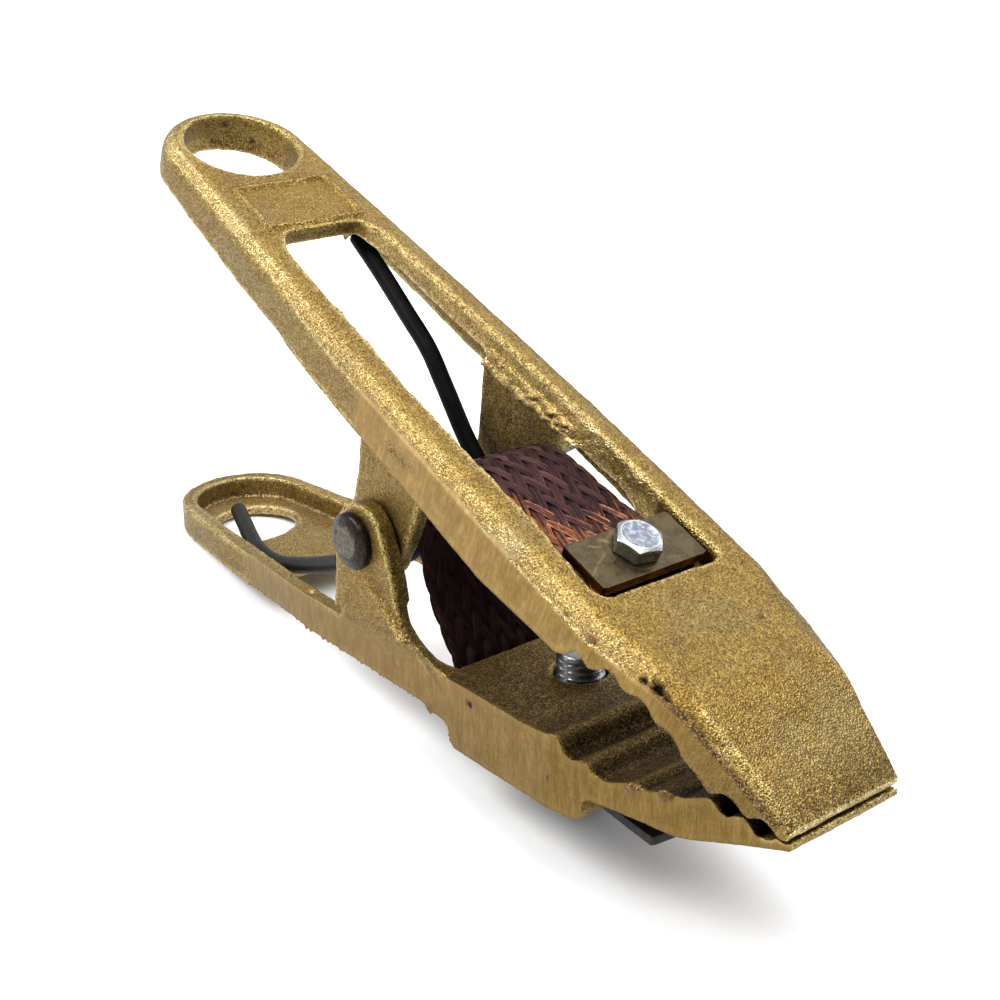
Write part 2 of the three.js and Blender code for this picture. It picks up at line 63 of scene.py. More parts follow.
class Frame:
    """axes of one lever, starting at the pivot, with z normal to its flat face"""

    def __init__(self, body, angle):
        c, s = math.cos(angle), math.sin(angle)
        self.body = body
        self.axes = np.array([[c, 0, s], [0, 1, 0], [-s, 0, c]])

    def world(self, points):
        return (np.asarray(points, float) * MM) @ self.axes.T + PIVOT

    def local(self, points):
        return ((np.asarray(points, float) - PIVOT) @ self.axes) / MM


LOWER = Frame("lower", TILT)                # z normal to the deck of the lower lever
UPPER = Frame("upper", TILT + CLOSED)       # z normal to the flat top of the upper lever


def upper_to_lower(points):
    return LOWER.local(UPPER.world(points))


# ================================================================ noise and blends
def lattice_hash(x, y, z, seed):
    with np.errstate(over="ignore"):
        h = (x.astype(np.int64) & 0xffffffff).astype(np.uint32) * np.uint32(0x9E3779B1)
        h ^= (y.astype(np.int64) & 0xffffffff).astype(np.uint32) * np.uint32(0x85EBCA77)
        h ^= (z.astype(np.int64) & 0xffffffff).astype(np.uint32) * np.uint32(0xC2B2AE3D)
        h ^= np.uint32((seed * 0x27D4EB2F) & 0xffffffff)
        h ^= h >> np.uint32(15)
        h *= np.uint32(0x2C1B3C6D)
        h ^= h >> np.uint32(12)
        h *= np.uint32(0x297A2D39)
        h ^= h >> np.uint32(15)
    return h


def noise(points, size, seed):
    """smooth gradient noise, about -1..1, with features of the given size"""
    p = np.asarray(points, float) / size
    cell = np.floor(p).astype(np.int64)
    f = p - cell
    u = f * f * f * (f * (f * 6 - 15) + 10)
    total = np.zeros(len(p))
    for corner in np.ndindex(2, 2, 2):
        weight = 1.0
        for axis in range(3):
            weight = weight * (u[:, axis] if corner[axis] else 1 - u[:, axis])
        h = lattice_hash(*(cell + corner).T, seed)
        slope = 0.0
        for axis in range(3):
            bits = (h >> np.uint32(10 * axis)) & np.uint32(1023)
            gradient = bits.astype(float) / 511.5 - 1
            slope = slope + gradient * (f[:, axis] - corner[axis])
        total += weight * slope
    return total * 1.5


def noise_at(x, y, z, seed):
    return noise(np.stack(np.broadcast_arrays(x, y, z), 1), 1.0, seed)


def rise(start, end, x):
    """0 before start, 1 past end, smooth between"""
    t = np.clip((np.asarray(x, float) - start) / (end - start), 0, 1)
    return t * t * (3 - 2 * t)


def fall(start, end, x):
    return 1 - rise(start, end, x)


def bell(*offsets):
    """1 where all offsets are 0, fading out around 1"""
    return np.exp(-sum(offset ** 2 for offset in offsets))


def along(table, x):
    return np.interp(x, table[:, 0], table[:, 1])


# ================================================================ mesh helpers
def link(ob):
    bpy.context.scene.collection.objects.link(ob)
    return ob


def get_points(mesh):
    flat = np.empty(len(mesh.vertices) * 3, np.float32)
    mesh.vertices.foreach_get("co", flat)
    return flat.reshape(-1, 3)


def set_points(mesh, points):
    mesh.vertices.foreach_set("co", points.astype(np.float32).ravel())
    mesh.update()


def finish_mesh(mesh, rest, material, attributes, sharp=None):
    """smooth shading, the resting place of each point and the mask attributes"""
    mesh.polygons.foreach_set("use_smooth", [True] * len(mesh.polygons))
    if sharp:
        mesh.set_sharp_from_angle(angle=math.radians(sharp))
    layer = mesh.attributes.new("rest", "FLOAT_VECTOR", "POINT")
    layer.data.foreach_set("vector", rest.astype(np.float32).ravel())
    for name, values in attributes.items():
        layer = mesh.attributes.new(name, "FLOAT", "POINT")
        layer.data.foreach_set("value", np.asarray(values, float).astype(np.float32))
    mesh.materials.append(material)


def make(name, points, faces, frame, look, node, sharp=None, attributes=None, blend=None):
    """an object in place of a CAD node; look is (material, slot), faces a list or an array
    of quads, sharp an angle in degrees, and blend two points of the lower frame, which are
    not used: a piece given a blend is left in world space and not attached to a body"""
    material, slot = look
    mesh = bpy.data.meshes.new(name)
    placed = frame.world(points)
    if isinstance(faces, np.ndarray):
        mesh.vertices.add(len(points))
        set_points(mesh, placed)
        mesh.loops.add(faces.size)
        mesh.loops.foreach_set("vertex_index", faces.astype(np.int32).ravel())
        mesh.polygons.add(len(faces))
        starts = np.arange(0, faces.size, faces.shape[1], dtype=np.int32)
        mesh.polygons.foreach_set("loop_start", starts)
        mesh.update(calc_edges=True)
        mesh.validate()
    else:
        mesh.from_pydata([tuple(p) for p in placed], [], faces)
        mesh.update()
    bm = bmesh.new()
    bm.from_mesh(mesh)
    bmesh.ops.recalc_face_normals(bm, faces=bm.faces)
    bm.to_mesh(mesh)
    bm.free()
    finish_mesh(mesh, points, material, attributes or {}, sharp)
    ob = link(bpy.data.objects.new(name, mesh))
    if blend:
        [tuple(LOWER.world(end)) for end in blend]
        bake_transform(ob)
    else:
        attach(ob, frame.body)
    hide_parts(node)


def ring_quads(rings, sides, start=0, closed=False):
    """quads between successive rings of points; closed joins the last ring to the first"""
    index = start + np.arange(rings * sides).reshape(rings, sides)
    if closed:
        index = np.vstack([index, index[:1]])
    beside = np.roll(index, -1, axis=1)
    return np.stack([index[:-1], beside[:-1], beside[1:], index[1:]], -1).reshape(-1, 4)


def fans(rings, sides):
    """triangles from two centre points, stored after the rings, to the end rings"""
    first, last = rings * sides, (rings - 1) * sides
    start = [(first, (k + 1) % sides, k) for k in range(sides)]
    end = [(first + 1, last + k, last + (k + 1) % sides) for k in range(sides)]
    return start, end


def lathe(profile, sides):
    """turns a profile of (radius, y) about the y axis; radius 0 closes it to a point"""
    points, rows, faces = [], [], []
    for radius, y in profile:
        count = 1 if radius < 1e-6 else sides
        rows.append(list(range(len(points), len(points) + count)))
        for k in range(count):
            a = 2 * math.pi * k / sides
            points.append((radius * math.cos(a), y, -radius * math.sin(a)))
    pairs = list(zip(rows[:-1], rows[1:]))
    if len(rows[0]) > 1 and len(rows[-1]) > 1:
        pairs.append((rows[-1], rows[0]))
    for a, b in pairs:
        for k in range(sides):
            j = (k + 1) % sides
            if len(a) == 1:
                faces.append((a[0], b[j], b[k]))
            elif len(b) == 1:
                faces.append((a[k], a[j], b[0]))
            else:
                faces.append((a[k], a[j], b[j], b[k]))
    return np.array(points, float), faces


def path_length(path):
    steps = np.linalg.norm(np.diff(path[:, :3], axis=0), axis=1)
    return np.concatenate([[0], np.cumsum(steps)])


def unit(vectors):
    return vectors / np.linalg.norm(vectors, axis=1)[:, None]


def smooth_path(stations, step):
    """centripetal spline through the stations, resampled at an even step"""
    ends = np.asarray(stations, float)
    guide = np.vstack([2 * ends[0] - ends[1], ends, 2 * ends[-1] - ends[-2]])
    dense = []
    for p0, p1, p2, p3 in zip(guide, guide[1:], guide[2:], guide[3:]):
        d01, d12, d23 = (max(np.linalg.norm(b[:3] - a[:3]), 1e-6) ** 0.5
                         for a, b in ((p0, p1), (p1, p2), (p2, p3)))
        m1 = ((p1 - p0) / d01 - (p2 - p0) / (d01 + d12) + (p2 - p1) / d12) * d12
        m2 = ((p2 - p1) / d12 - (p3 - p1) / (d12 + d23) + (p3 - p2) / d23) * d12
        count = max(4, int(np.linalg.norm(p2 - p1) / (step * 0.4)))
        for t in np.linspace(0, 1, count, endpoint=False):
            dense.append(p1 * (2 * t ** 3 - 3 * t ** 2 + 1) + m1 * (t ** 3 - 2 * t ** 2 + t)
                         + p2 * (-2 * t ** 3 + 3 * t ** 2) + m2 * (t ** 3 - t ** 2))
    dense.append(ends[-1])
    dense = np.array(dense)
    s = path_length(dense)
    even = np.linspace(0, s[-1], max(2, int(round(s[-1] / step)) + 1))
    return np.stack([np.interp(even, s, column) for column in dense.T], 1)


def tube(path, radius, sides, rounding):
    """swept round bar with rounded edges at its cut ends"""
    tangent = unit(np.gradient(path, axis=0))
    first = np.cross(tangent[0], (0, 0, 1.0))
    normals = [first / np.linalg.norm(first)]
    for t in tangent[1:]:
        turned = normals[-1] - t * np.dot(normals[-1], t)
        normals.append(turned / np.linalg.norm(turned))
    binormals = np.cross(tangent, np.array(normals))
    a = np.linspace(0, 2 * math.pi, sides, endpoint=False)[:, None]

    def ring(i, shift, r):
        centre = path[i] + tangent[i] * shift
        return centre + r * (np.cos(a) * normals[i] + np.sin(a) * binormals[i])

    def end_ring(i, inward, k):
        turn = k * math.pi / 2
        return ring(i, inward * rounding * (1 - math.cos(turn)),
                    radius - rounding + rounding * math.sin(turn))

    # rings of the bar start and stop clear of the rounded ends
    start = 1
    while np.linalg.norm(path[start] - path[0]) < rounding * 1.2:
        start += 1
    stop = len(path) - 2
    while np.linalg.norm(path[stop] - path[-1]) < rounding * 1.2:
        stop -= 1
    round_steps = (0.0, 0.35, 0.75, 1.0)
    rows = [end_ring(0, 1, k) for k in round_steps]
    rows += [ring(i, 0, radius) for i in range(start, stop + 1)]
    rows += [end_ring(-1, -1, k) for k in reversed(round_steps)]
    faces = ring_quads(len(rows), sides).tolist()
    for pair in zip(*fans(len(rows), sides)):
        faces += pair
    return np.vstack(rows + [path[:1], path[-1:]]), faces


# ================================================================ shader helpers
class Value:
    """a shader output; +, - and * add the matching math node"""

    def __init__(self, shader, socket):
        self.shader, self.socket = shader, socket

    def math(self, operation, *inputs):
        return self.shader.node("ShaderNodeMath", dict(enumerate(inputs)), operation=operation)

    def __add__(self, other):
        return self.math("ADD", self, other)

    def __sub__(self, other):
        return self.math("SUBTRACT", self, other)

    def __rsub__(self, other):
        return self.math("SUBTRACT", other, self)

    def __mul__(self, other):
        return self.math("MULTIPLY", self, other)

    def times_plus(self, factor, offset):
        return self.math("MULTIPLY_ADD", self, factor, offset)

    def vector(self, operation, other):
        return self.shader.node("ShaderNodeVectorMath", {0: self, 1: other}, operation=operation)

    def fade(self, start, end, to=(0.0, 1.0)):
        """goes smoothly from to[0] to to[1] as this value goes from start to end"""
        return self.shader.node("ShaderNodeMapRange", interpolation_type="SMOOTHSTEP",
                                inputs={0: self, 1: start, 2: end, 3: to[0], 4: to[1]})

    def ramp(self, *stops):
        """colour ramp from stops of (position, colour)"""
        out = self.shader.node("ShaderNodeValToRGB", {0: self})
        elements = out.socket.node.color_ramp.elements
        while len(elements) < len(stops):
            elements.new(0.5)
        for element, (position, color) in zip(elements, stops):
            element.position = position
            element.color = (*color, 1)
        return out


class Shader:
    """builds the nodes of a material or a world"""

    def __init__(self, owner):
        owner.use_nodes = True
        self.owner, self.tree = owner, owner.node_tree

    def put(self, socket, value):
        if isinstance(value, Value):
            self.tree.links.new(value.socket, socket)
        elif isinstance(value, tuple) and socket.type == "RGBA":
            socket.default_value = (*value, 1)
        else:
            socket.default_value = value

    def node(self, kind, inputs=None, output=0, **settings):
        node = self.tree.nodes.new(kind)
        for key, value in settings.items():
            setattr(node, key, value)
        for key, value in (inputs or {}).items():
            self.put(node.inputs[key], value)
        return Value(self, node.outputs[output])

    def attribute(self, name, output="Fac"):
        return self.node("ShaderNodeAttribute", output=output, attribute_name=name)

    def noise(self, place, scale, detail=3.0, rough=0.6, stretch=None, output="Fac"):
        if stretch:
            place = place.vector("MULTIPLY", stretch)
        return self.node("ShaderNodeTexNoise", {"Vector": place, "Scale": scale,
                                                "Detail": detail, "Roughness": rough}, output)

    def mix(self, factor, a, b):
        return self.node("ShaderNodeMix", {0: factor, 6: a, 7: b}, 2,
                         data_type="RGBA", clamp_factor=True)

    def bump(self, height, depth, strength, normal=None):
        """depth is in millimetres"""
        inputs = {"Height": height, "Distance": depth * MM, "Strength": strength}
        if normal:
            inputs["Normal"] = normal
        return self.node("ShaderNodeBump", inputs)

    def finish(self, color, rough, metal=1.0, normal=None, specular=None):
        inputs = self.tree.nodes["Principled BSDF"].inputs
        self.put(inputs["Base Color"], color)
        self.put(inputs["Roughness"], rough)
        self.put(inputs["Metallic"], metal)
        if normal:
            self.put(inputs["Normal"], normal)
        if specular is not None:
            self.put(inputs["Specular IOR Level"], specular)
        return self.owner


def new_material(name):
    """a material shader and the resting place that its textures use"""
    m = Shader(bpy.data.materials.new(name))
    return m, m.attribute("rest", "Vector")


# ================================================================ materials
def brass_material():
    """sand-cast brass: granular skin, dark pores, brown patches, belt-ground flats"""
    m, place = new_material("cast_brass")
    ground, hollow, patina_and_shade, pit, shade = map(
        m.attribute, ("ground", "cavity", "patina_and_shade", "pit", "shade"))
    wobble = m.noise(place, scale=1.1, detail=2.0, rough=0.5, output="Color")
    wobbled = place.vector("ADD", wobble.vector("MULTIPLY", (0.55, 0.55, 0.55)))
    pebbles = 1.0 - m.node("ShaderNodeTexVoronoi", output="Distance", feature="SMOOTH_F1",
                           inputs={"Vector": wobbled, "Scale": 2.3, "Smoothness": 0.25})
    cells = m.node("ShaderNodeTexVoronoi", {"Vector": wobbled, "Scale": 4.2}, "Color",
                   feature="F1")
    cells = m.node("ShaderNodeSeparateColor", {"Color": cells})
    fine = m.noise(place, scale=2.5, detail=2.0)
    coarse = m.noise(place, scale=0.72)
    blotch = m.noise(place, scale=0.13, detail=4.0)
    broad = m.noise(place, scale=0.040, rough=0.55)
    # the skin as cast, in yellow, brown and grey patches
    grain = (fine * 0.46 + coarse * 0.20) + (cells * 0.18 + pebbles * 0.16)
    yellow = grain.ramp((0.36, (0.080, 0.049, 0.013)), (0.46, (0.155, 0.099, 0.027)),
                        (0.56, (0.240, 0.162, 0.047)), (0.68, (0.39, 0.278, 0.094)))
    brown = grain.ramp((0.38, (0.070, 0.040, 0.012)), (0.52, (0.170, 0.102, 0.029)),
                       (0.68, (0.29, 0.188, 0.058)))
    grey = grain.ramp((0.38, (0.095, 0.072, 0.034)), (0.60, (0.235, 0.185, 0.086)))
    color = m.mix(blotch.fade(0.48, 0.66, to=(0.0, 0.75)), yellow, brown)
    color = m.mix(broad.fade(0.50, 0.62, to=(0.0, 0.40)), color, grey)
    # ground flats: even, paler, with fine lines across the lever and dark specks
    lines = (m.noise(place, 1.0, detail=4.0, rough=0.62, stretch=(3.4, 0.5, 0.42)) * 0.5
             + m.noise(place, 1.0, stretch=(0.8, 0.3, 0.12)) * 0.5)
    flat = lines.ramp((0.36, (0.158, 0.094, 0.027)), (0.52, (0.230, 0.147, 0.047)),
                      (0.66, (0.305, 0.206, 0.074)))
    patches = (blotch * 0.6 + coarse * 0.4).fade(0.47, 0.64, to=(0.0, 0.65))
    flat = m.mix(patches, flat, (0.165, 0.100, 0.029))
    specks = m.noise(place, scale=1.5, rough=0.7).fade(0.57, 0.70, to=(0.0, 0.60))
    flat = m.mix(specks, flat, (0.095, 0.056, 0.018))
    color = m.mix(ground, color, flat)
    # patina in hollows, on the deck and in the grooves, and painted shade under the levers and,
    # black, in the openings between the jaws
    dark = grain.ramp((0.40, (0.015, 0.0090, 0.0042)), (0.53, (0.092, 0.0572, 0.0262)),
                      (0.62, (0.36, 0.236, 0.098)))
    color = m.mix(hollow.fade(0.05, 0.70) * 0.60, color, dark)
    color = m.mix(patina_and_shade, color, dark)
    # bright burnished high spots on convex edges
    edge = hollow.fade(-0.10, -0.50) * grain.fade(0.42, 0.56)
    edge = edge * ground.times_plus(-0.85, 1.0)
    color = m.mix(edge * patina_and_shade.times_plus(-0.8, 0.75), color, (0.50, 0.385, 0.165))
    # painted light and shade: it scales the brightness, and its highest values add a pale
    # painted highlight
    color = m.node("ShaderNodeVectorMath", {0: color, 3: shade}, operation="SCALE")
    pale = m.node("ShaderNodeCombineXYZ", {0: 1.0, 1: shade.fade(1.1, 1.7, to=(0.985, 1.07)),
                                           2: shade.fade(1.1, 1.7, to=(0.88, 1.34))})
    color = color.vector("MULTIPLY", pale)
    # pits: pinkish metal, painted black at the bottom of the deepest as shade
    pink = m.mix(coarse.fade(0.45, 0.6), (0.030, 0.016, 0.010), (0.20, 0.105, 0.066))
    pink = m.mix(pit.fade(0.62, 0.85), pink, (0.006, 0.0045, 0.004))
    color = m.mix(pit, color, pink)
    rough = grain.fade(0.40, 0.64, to=(0.52, 0.32)) + patina_and_shade * 0.14
    rough = rough * (1.0 - ground) + ground * 0.40
    skin = fine * 0.60 + pebbles * 0.65 + coarse * 0.7
    normal = m.bump(skin, depth=0.27, strength=ground.times_plus(-0.92, 1.0))
    normal = m.bump(lines, depth=0.10, strength=ground * 0.6, normal=normal)
    return m.finish(color, rough, normal=normal)


def copper_material():
    """braid wires: dark old copper, brighter orange in places, darker and redder at the lower
    end as painted shade
    """
    m, place = new_material("copper_braid")
    bright, strand, core, low_end_shade = map(
        m.attribute, ("bright", "strand", "core", "low_shade"))
    soft = m.noise(place, 1.0, stretch=(0.5, 0.8, 0.5))
    fine = m.noise(place, scale=2.4, detail=2.0)
    old = (strand * 0.55 + fine * 0.45).ramp(
        (0.15, (0.014, 0.0075, 0.009)), (0.45, (0.040, 0.0185, 0.0205)),
        (0.75, (0.088, 0.037, 0.037)), (0.95, (0.17, 0.066, 0.046)))
    new = (strand * 0.6 + soft * 0.4).ramp(
        (0.2, (0.060, 0.020, 0.012)), (0.5, (0.25, 0.085, 0.036)), (0.85, (0.56, 0.235, 0.105)))
    worn = (bright + (soft - 0.5) * 0.9).fade(0.34, 0.72)
    color = m.mix(worn, old, new)
    # painted shade: the lower end of the braid, in the shade below the pivot, is darker and
    # redder
    deep = (strand * 0.75 + fine * 0.25).ramp(
        (0.45, (0.020, 0.012, 0.013)), (0.80, (0.052, 0.022, 0.018)),
        (0.93, (0.26, 0.065, 0.030)))
    deep_worn = (bright + (soft - 0.5) * 0.5).fade(0.40, 0.62)
    deep = m.mix(deep_worn, deep, (0.085, 0.024, 0.014))
    color = m.mix(low_end_shade, color, deep)
    color = m.mix(core, color, (0.012, 0.007, 0.007))
    rough = worn.fade(0, 1, to=(0.46, 0.30)) + low_end_shade * 0.15
    return m.finish(color, rough, normal=m.bump(fine, depth=0.05, strength=0.5))


def spring_material():
    """black coated wire with a few paler scuffs"""
    m, place = new_material("spring_black")
    fine = m.noise(place, scale=0.9, detail=4.0)
    broad = m.noise(place, scale=0.22)
    streaks = m.noise(place, 1.0, stretch=(0.25, 3.0, 1.6))
    color = m.mix(broad.fade(0.4, 0.65), (0.0032, 0.0031, 0.0031), (0.0058, 0.0055, 0.0052))
    scuffs = (fine + streaks * 0.6).fade(1.00, 1.10)
    color = m.mix(scuffs, color, (0.020, 0.019, 0.017))
    return m.finish(color, fine.fade(0.3, 0.7, to=(0.56, 0.44)), metal=0.0,
                    normal=m.bump(fine, depth=0.06, strength=0.5),
                    specular=m.attribute("sheen").times_plus(0.26, 0.02))


def zinc_material(name, tint, rough, dull):
    """zinc-plated steel, blue-grey and rougher on the top of a bolt head"""
    m, place = new_material(name)
    top = m.attribute("top")
    fine = m.noise(place, scale=1.6, detail=4.0)
    broad = m.noise(place, scale=0.45, detail=4.0, rough=0.65)
    color = m.mix(broad.fade(0.42, 0.62), tint, tuple(x * 0.72 for x in tint))
    color = m.mix(fine.fade(0.58, 0.75, to=(0, 0.6)), color, (0.20, 0.21, 0.23))
    spots = m.noise(place, scale=0.95, detail=4.0, rough=0.7).fade(0.36, 0.62, to=(0.60, 1.0))
    color = m.mix(top * spots, color, (0.118, 0.132, 0.166))
    color = m.mix(dull, color, (0.11, 0.115, 0.12))
    dents = m.noise(place, scale=1.1, detail=2.0, rough=0.5) * (top * 2.2)
    return m.finish(color, broad.fade(0.35, 0.7, to=(rough, rough + 0.14)) + top * 0.16,
                    normal=m.bump(fine + dents, depth=0.07, strength=0.8))


def steel_material():
    """rivet and washer: dark oiled steel, worn lighter in the middle of the head"""
    m, place = new_material("dark_steel")
    coarse = m.noise(place, scale=0.85, detail=4.0, rough=0.65)
    fine = m.noise(place, scale=2.6)
    color = m.mix(coarse.fade(0.4, 0.6), (0.015, 0.0115, 0.0100), (0.031, 0.0245, 0.0210))
    light = (coarse * 0.6 + fine * 0.4).ramp(
        (0.36, (0.032, 0.027, 0.020)), (0.52, (0.074, 0.064, 0.046)),
        (0.68, (0.135, 0.121, 0.088)))
    worn = m.attribute("worn") + (coarse - 0.5) * 1.1
    color = m.mix(worn.fade(0.42, 0.66), color, light)
    return m.finish(color, fine.fade(0.3, 0.7, to=(0.44, 0.30)),
                    normal=m.bump(coarse + fine * 0.3, depth=0.16, strength=0.7))


def bronze_material():
    """the strap plate: dark tarnished sheet, cut edges with painted light on the end, painted
    shadow on the sides toward -x, scratches and a ring mark
    """
    m, place = new_material("tarnished_brass")
    broad = m.noise(place, scale=0.30, detail=4.0)
    fine = m.noise(place, scale=1.8)
    color = m.mix(broad.fade(0.40, 0.62), (0.070, 0.053, 0.027), (0.044, 0.032, 0.017))
    color = m.mix(fine.fade(0.50, 0.72, to=(0, 0.55)), color, (0.10, 0.077, 0.038))
    color = m.mix(m.attribute("marks"), color, (0.24, 0.175, 0.075))
    streaks = m.noise(place, 1.0, stretch=(0.3, 0.45, 3.2))
    # cut edges, lighter on the end face as painted light
    cut_edge_lit = m.mix((streaks * 0.6 + broad * 0.4).fade(0.40, 0.60),
                    (0.62, 0.27, 0.070), (0.20, 0.085, 0.025))
    color = m.mix(m.attribute("edge"), color, cut_edge_lit)
    # painted shadow on the sides toward -x
    color = m.mix(m.attribute("flank_shadow"), color, (0.010, 0.0065, 0.004))
    return m.finish(color, broad.fade(0.35, 0.7, to=(0.46, 0.36)),
                    normal=m.bump(fine + broad * 0.8, depth=0.05, strength=0.6))


# near black, as painted shade: the cable plate lies in deep shade under the lower jaw
def shaded_plate_material():
    m, place = new_material("black_steel")
    broad = m.noise(place, scale=0.5, detail=4.0)
    fine = m.noise(place, scale=2.0)
    color = m.mix(broad.fade(0.4, 0.65), (0.011, 0.010, 0.010), (0.028, 0.024, 0.022))
    color = m.mix(fine.fade(0.62, 0.72, to=(0, 0.7)), color, (0.09, 0.075, 0.06))
    return m.finish(color, fine.fade(0.3, 0.7, to=(0.62, 0.48)), metal=0.6,
                    normal=m.bump(fine, depth=0.06, strength=0.6))


# looks: (material, slot)
BRASS = brass_material(), "cast_brass"
COPPER = copper_material(), "copper_braid"
SPRING = spring_material(), "spring_steel"
ZINC = zinc_material("zinc_bright", (0.66, 0.69, 0.73), rough=0.19, dull=0.0), "zinc_steel"
ZINC_DULL = zinc_material("zinc_dull", (0.34, 0.36, 0.38), rough=0.28, dull=0.25), "zinc_steel"
STEEL = steel_material(), "dark_steel"
BRONZE = bronze_material(), "tarnished_brass"
PLATE_SHADE = shaded_plate_material(), "black_steel"

# ================================================================ castings
VOXEL = 0.48

# height of the upper jaw's crown: x, z
UPPER_CROWN = np.array([[97, 40.64], [102, 39.9], [107, 38.5], [113, 36.5],
                        [119, 34.8], [124, 33.4], [127.2, 32.2], [129, 31.6]])
# half widths of the levers in plan: x, |y|
UPPER_HALF = np.array([[-110, 20.6], [-90, 21.5], [-70, 22.6], [-50, 23.4], [-30, 24.1],
                       [-10, 24.9], [10, 25.4], [30, 25.8], [74, 25.8], [101, 20.6],
                       [128, 16.1]])
LOWER_HALF = np.array([[-94.2, 19.4], [-76, 21.5], [-60, 22.5], [-48, 23.4], [-34, 24.6],
                       [-24, 25.1], [48, 25.4], [70, 25.3], [100, 20.5], [130.3, 15.9]])
# depth of the crease along the upper jaw below the crown: x, depth
CREASE_DEPTH = np.array([[74, 3.4], [91, 2.8], [107, 2.5], [126, 1.7]])

# casting pits: centre, radii along x, y and z, depth, darkness
UPPER_PITS = [
    ((91.6, -21.8, 38.5), (2.1, 1.5, 1.6), 1.5, 1.0),
    ((94.0, -21.4, 38.3), (2.4, 1.0, 1.1), 1.0, 0.95),
    ((97.4, -20.8, 38.1), (2.2, 0.7, 0.8), 0.6, 0.8),
    ((88.5, -22.5, 38.0), (1.3, 1.1, 1.3), 0.9, 0.9),
    ((74.6, -25.3, 37.3), (1.9, 1.5, 1.5), 0.7, 0.6),
    ((66.6, -25.5, 37.1), (0.9, 0.9, 0.9), 0.5, 0.7),
    ((86.8, 11.6, 40.6), (0.7, 1.5, 1.0), 0.35, 0.55),
    ((104.0, -20.2, 37.2), (1.2, 0.7, 0.7), 0.4, 0.6),
    ((-124.1, 4.0, 38.2), (1.3, 1.6, 1.3), 0.4, 0.55),
    ((-120.1, 10.8, 34.2), (1.5, 1.3, 1.5), 0.3, 0.5),
    ((58.0, -22.2, 40.2), (0.9, 0.6, 0.8), 0.3, 0.5),
    ((36.0, -21.5, 40.0), (0.8, 0.6, 0.8), 0.3, 0.4)]
LOWER_PITS = [
    ((42.9, -25.3, -26.5), (1.5, 1.3, 1.3), 0.5, 0.9),
    ((-24.9, -23.6, -23.0), (1.7, 1.6, 1.2), 0.9, 0.7),
    ((70.0, -25.2, -33.0), (0.8, 0.8, 0.8), 0.3, 0.6)]
# crumbs of metal on the near side of the lower jaw: x, y, z, radius
LOWER_CRUMBS = [(92.0, -21.8, -26.6, 1.5), (93.9, -21.3, -26.4, 1.0),
                (100.3, -20.4, -24.8, 1.7), (102.2, -20.0, -24.6, 1.0)]


def relax(points, edges, rounds):
    """moves every point halfway to the mean of its neighbours, again and again"""
    points = points.copy()
    count = len(points)
    degree = np.bincount(edges.ravel(), minlength=count).astype(float)
    for _ in range(rounds):
        total = np.empty_like(points)
        for k in range(3):
            total[:, k] = sum(np.bincount(edges[:, a], weights=points[edges[:, b], k],
                                          minlength=count) for a, b in ((0, 1), (1, 0)))
        points += 0.5 * (total / degree[:, None] - points)
    return points


def swell(points, half, start, ear):
    """moves the side faces out past start, so that edge rounding happens in metal that is
    ground off later"""
    x, y, _ = points.T
    mask = rise(-0.9, -0.25, np.abs(y) - along(half, x)) * (x > start)
    if ear is not None:
        mask = mask * (~ear(points))
    points = points.copy()
    points[:, 1] += np.sign(points[:, 1]) * 2.4 * mask
    return points


def casting(name, node, frame, shape, half, swell_start, ear=None):
    """a casting made from the CAD solid: edges rounded, then given its cast surface"""
    ob = link(bpy.data.objects.new(name, cad["nodes"][node].data.copy()))
    swollen = swell(frame.local(get_points(ob.data)), half, swell_start, ear)
    set_points(ob.data, frame.world(swollen))
    remesh = ob.modifiers.new("remesh", "REMESH")
    remesh.mode = "VOXEL"
    remesh.voxel_size = VOXEL * MM
    graph = bpy.context.evaluated_depsgraph_get()
    mesh = bpy.data.meshes.new_from_object(ob.evaluated_get(graph))
    ob.modifiers.clear()
    ob.data = mesh
    mesh.materials.clear()
    edges = np.empty(len(mesh.edges) * 2, np.int32)
    mesh.edges.foreach_get("vertices", edges)
    edges = edges.reshape(-1, 2)
    points = relax(frame.local(get_points(mesh)), edges, 7)
    soft = relax(points, edges, 22)
    set_points(mesh, points * MM)
    normals = np.empty(len(points) * 3, np.float32)
    mesh.vertex_normals.foreach_get("vector", normals)
    normals = normals.reshape(-1, 3).astype(float)
    # positive in hollows, negative on edges
    hollow = np.clip(np.einsum("ij,ij->i", soft - points, normals) / 0.35, -1, 1)
    points, masks = shape(points, normals, hollow)
    masks["cavity"] = hollow
    set_points(mesh, frame.world(points))
    material, slot = BRASS
    finish_mesh(mesh, points, material, masks)
    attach(ob, frame.body)
    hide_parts(node)


def push(points, normals, height):
    return points + normals * height[:, None]


def roughen(points, normals, amount):
    """cast skin: fine grain, pebbles and slow lumps"""
    height = (0.055 * noise(points, 0.85, 11) + 0.075 * noise(points, 1.9, 12)
              + 0.10 * noise(points, 5.2, 13) + 0.12 * noise(points, 17.0, 14))
    return push(points, normals, height * amount)


def carve(points, normals, pits):
    darkness = np.zeros(len(points))
    for centre, radii, depth, tone in pits:
        away = (points - np.array(centre)) / np.array(radii)
        away = np.sqrt((away * away).sum(1)) + 0.22 * noise(points, 0.9, 31)
        inside = fall(0.45, 1.0, away)
        points = points - normals * (inside * depth)[:, None]
        darkness = np.maximum(darkness, inside * tone)
    return points, darkness


def clamp_sides(points, limit):
    """keeps |y| within the limit"""
    y = points[:, 1]
    points = points.copy()
    points[:, 1] = np.sign(y) * np.minimum(np.abs(y), limit)
    return points


def grind(points, half, depth):
    """cuts the sides flat, depth inside the half width; also gives the ground area"""
    limit = along(half, points[:, 0]) - depth
    return clamp_sides(points, limit), rise(-0.10, 0.05, np.abs(points[:, 1]) - limit)


def strongest(*masks):
    return np.maximum.reduce(masks)


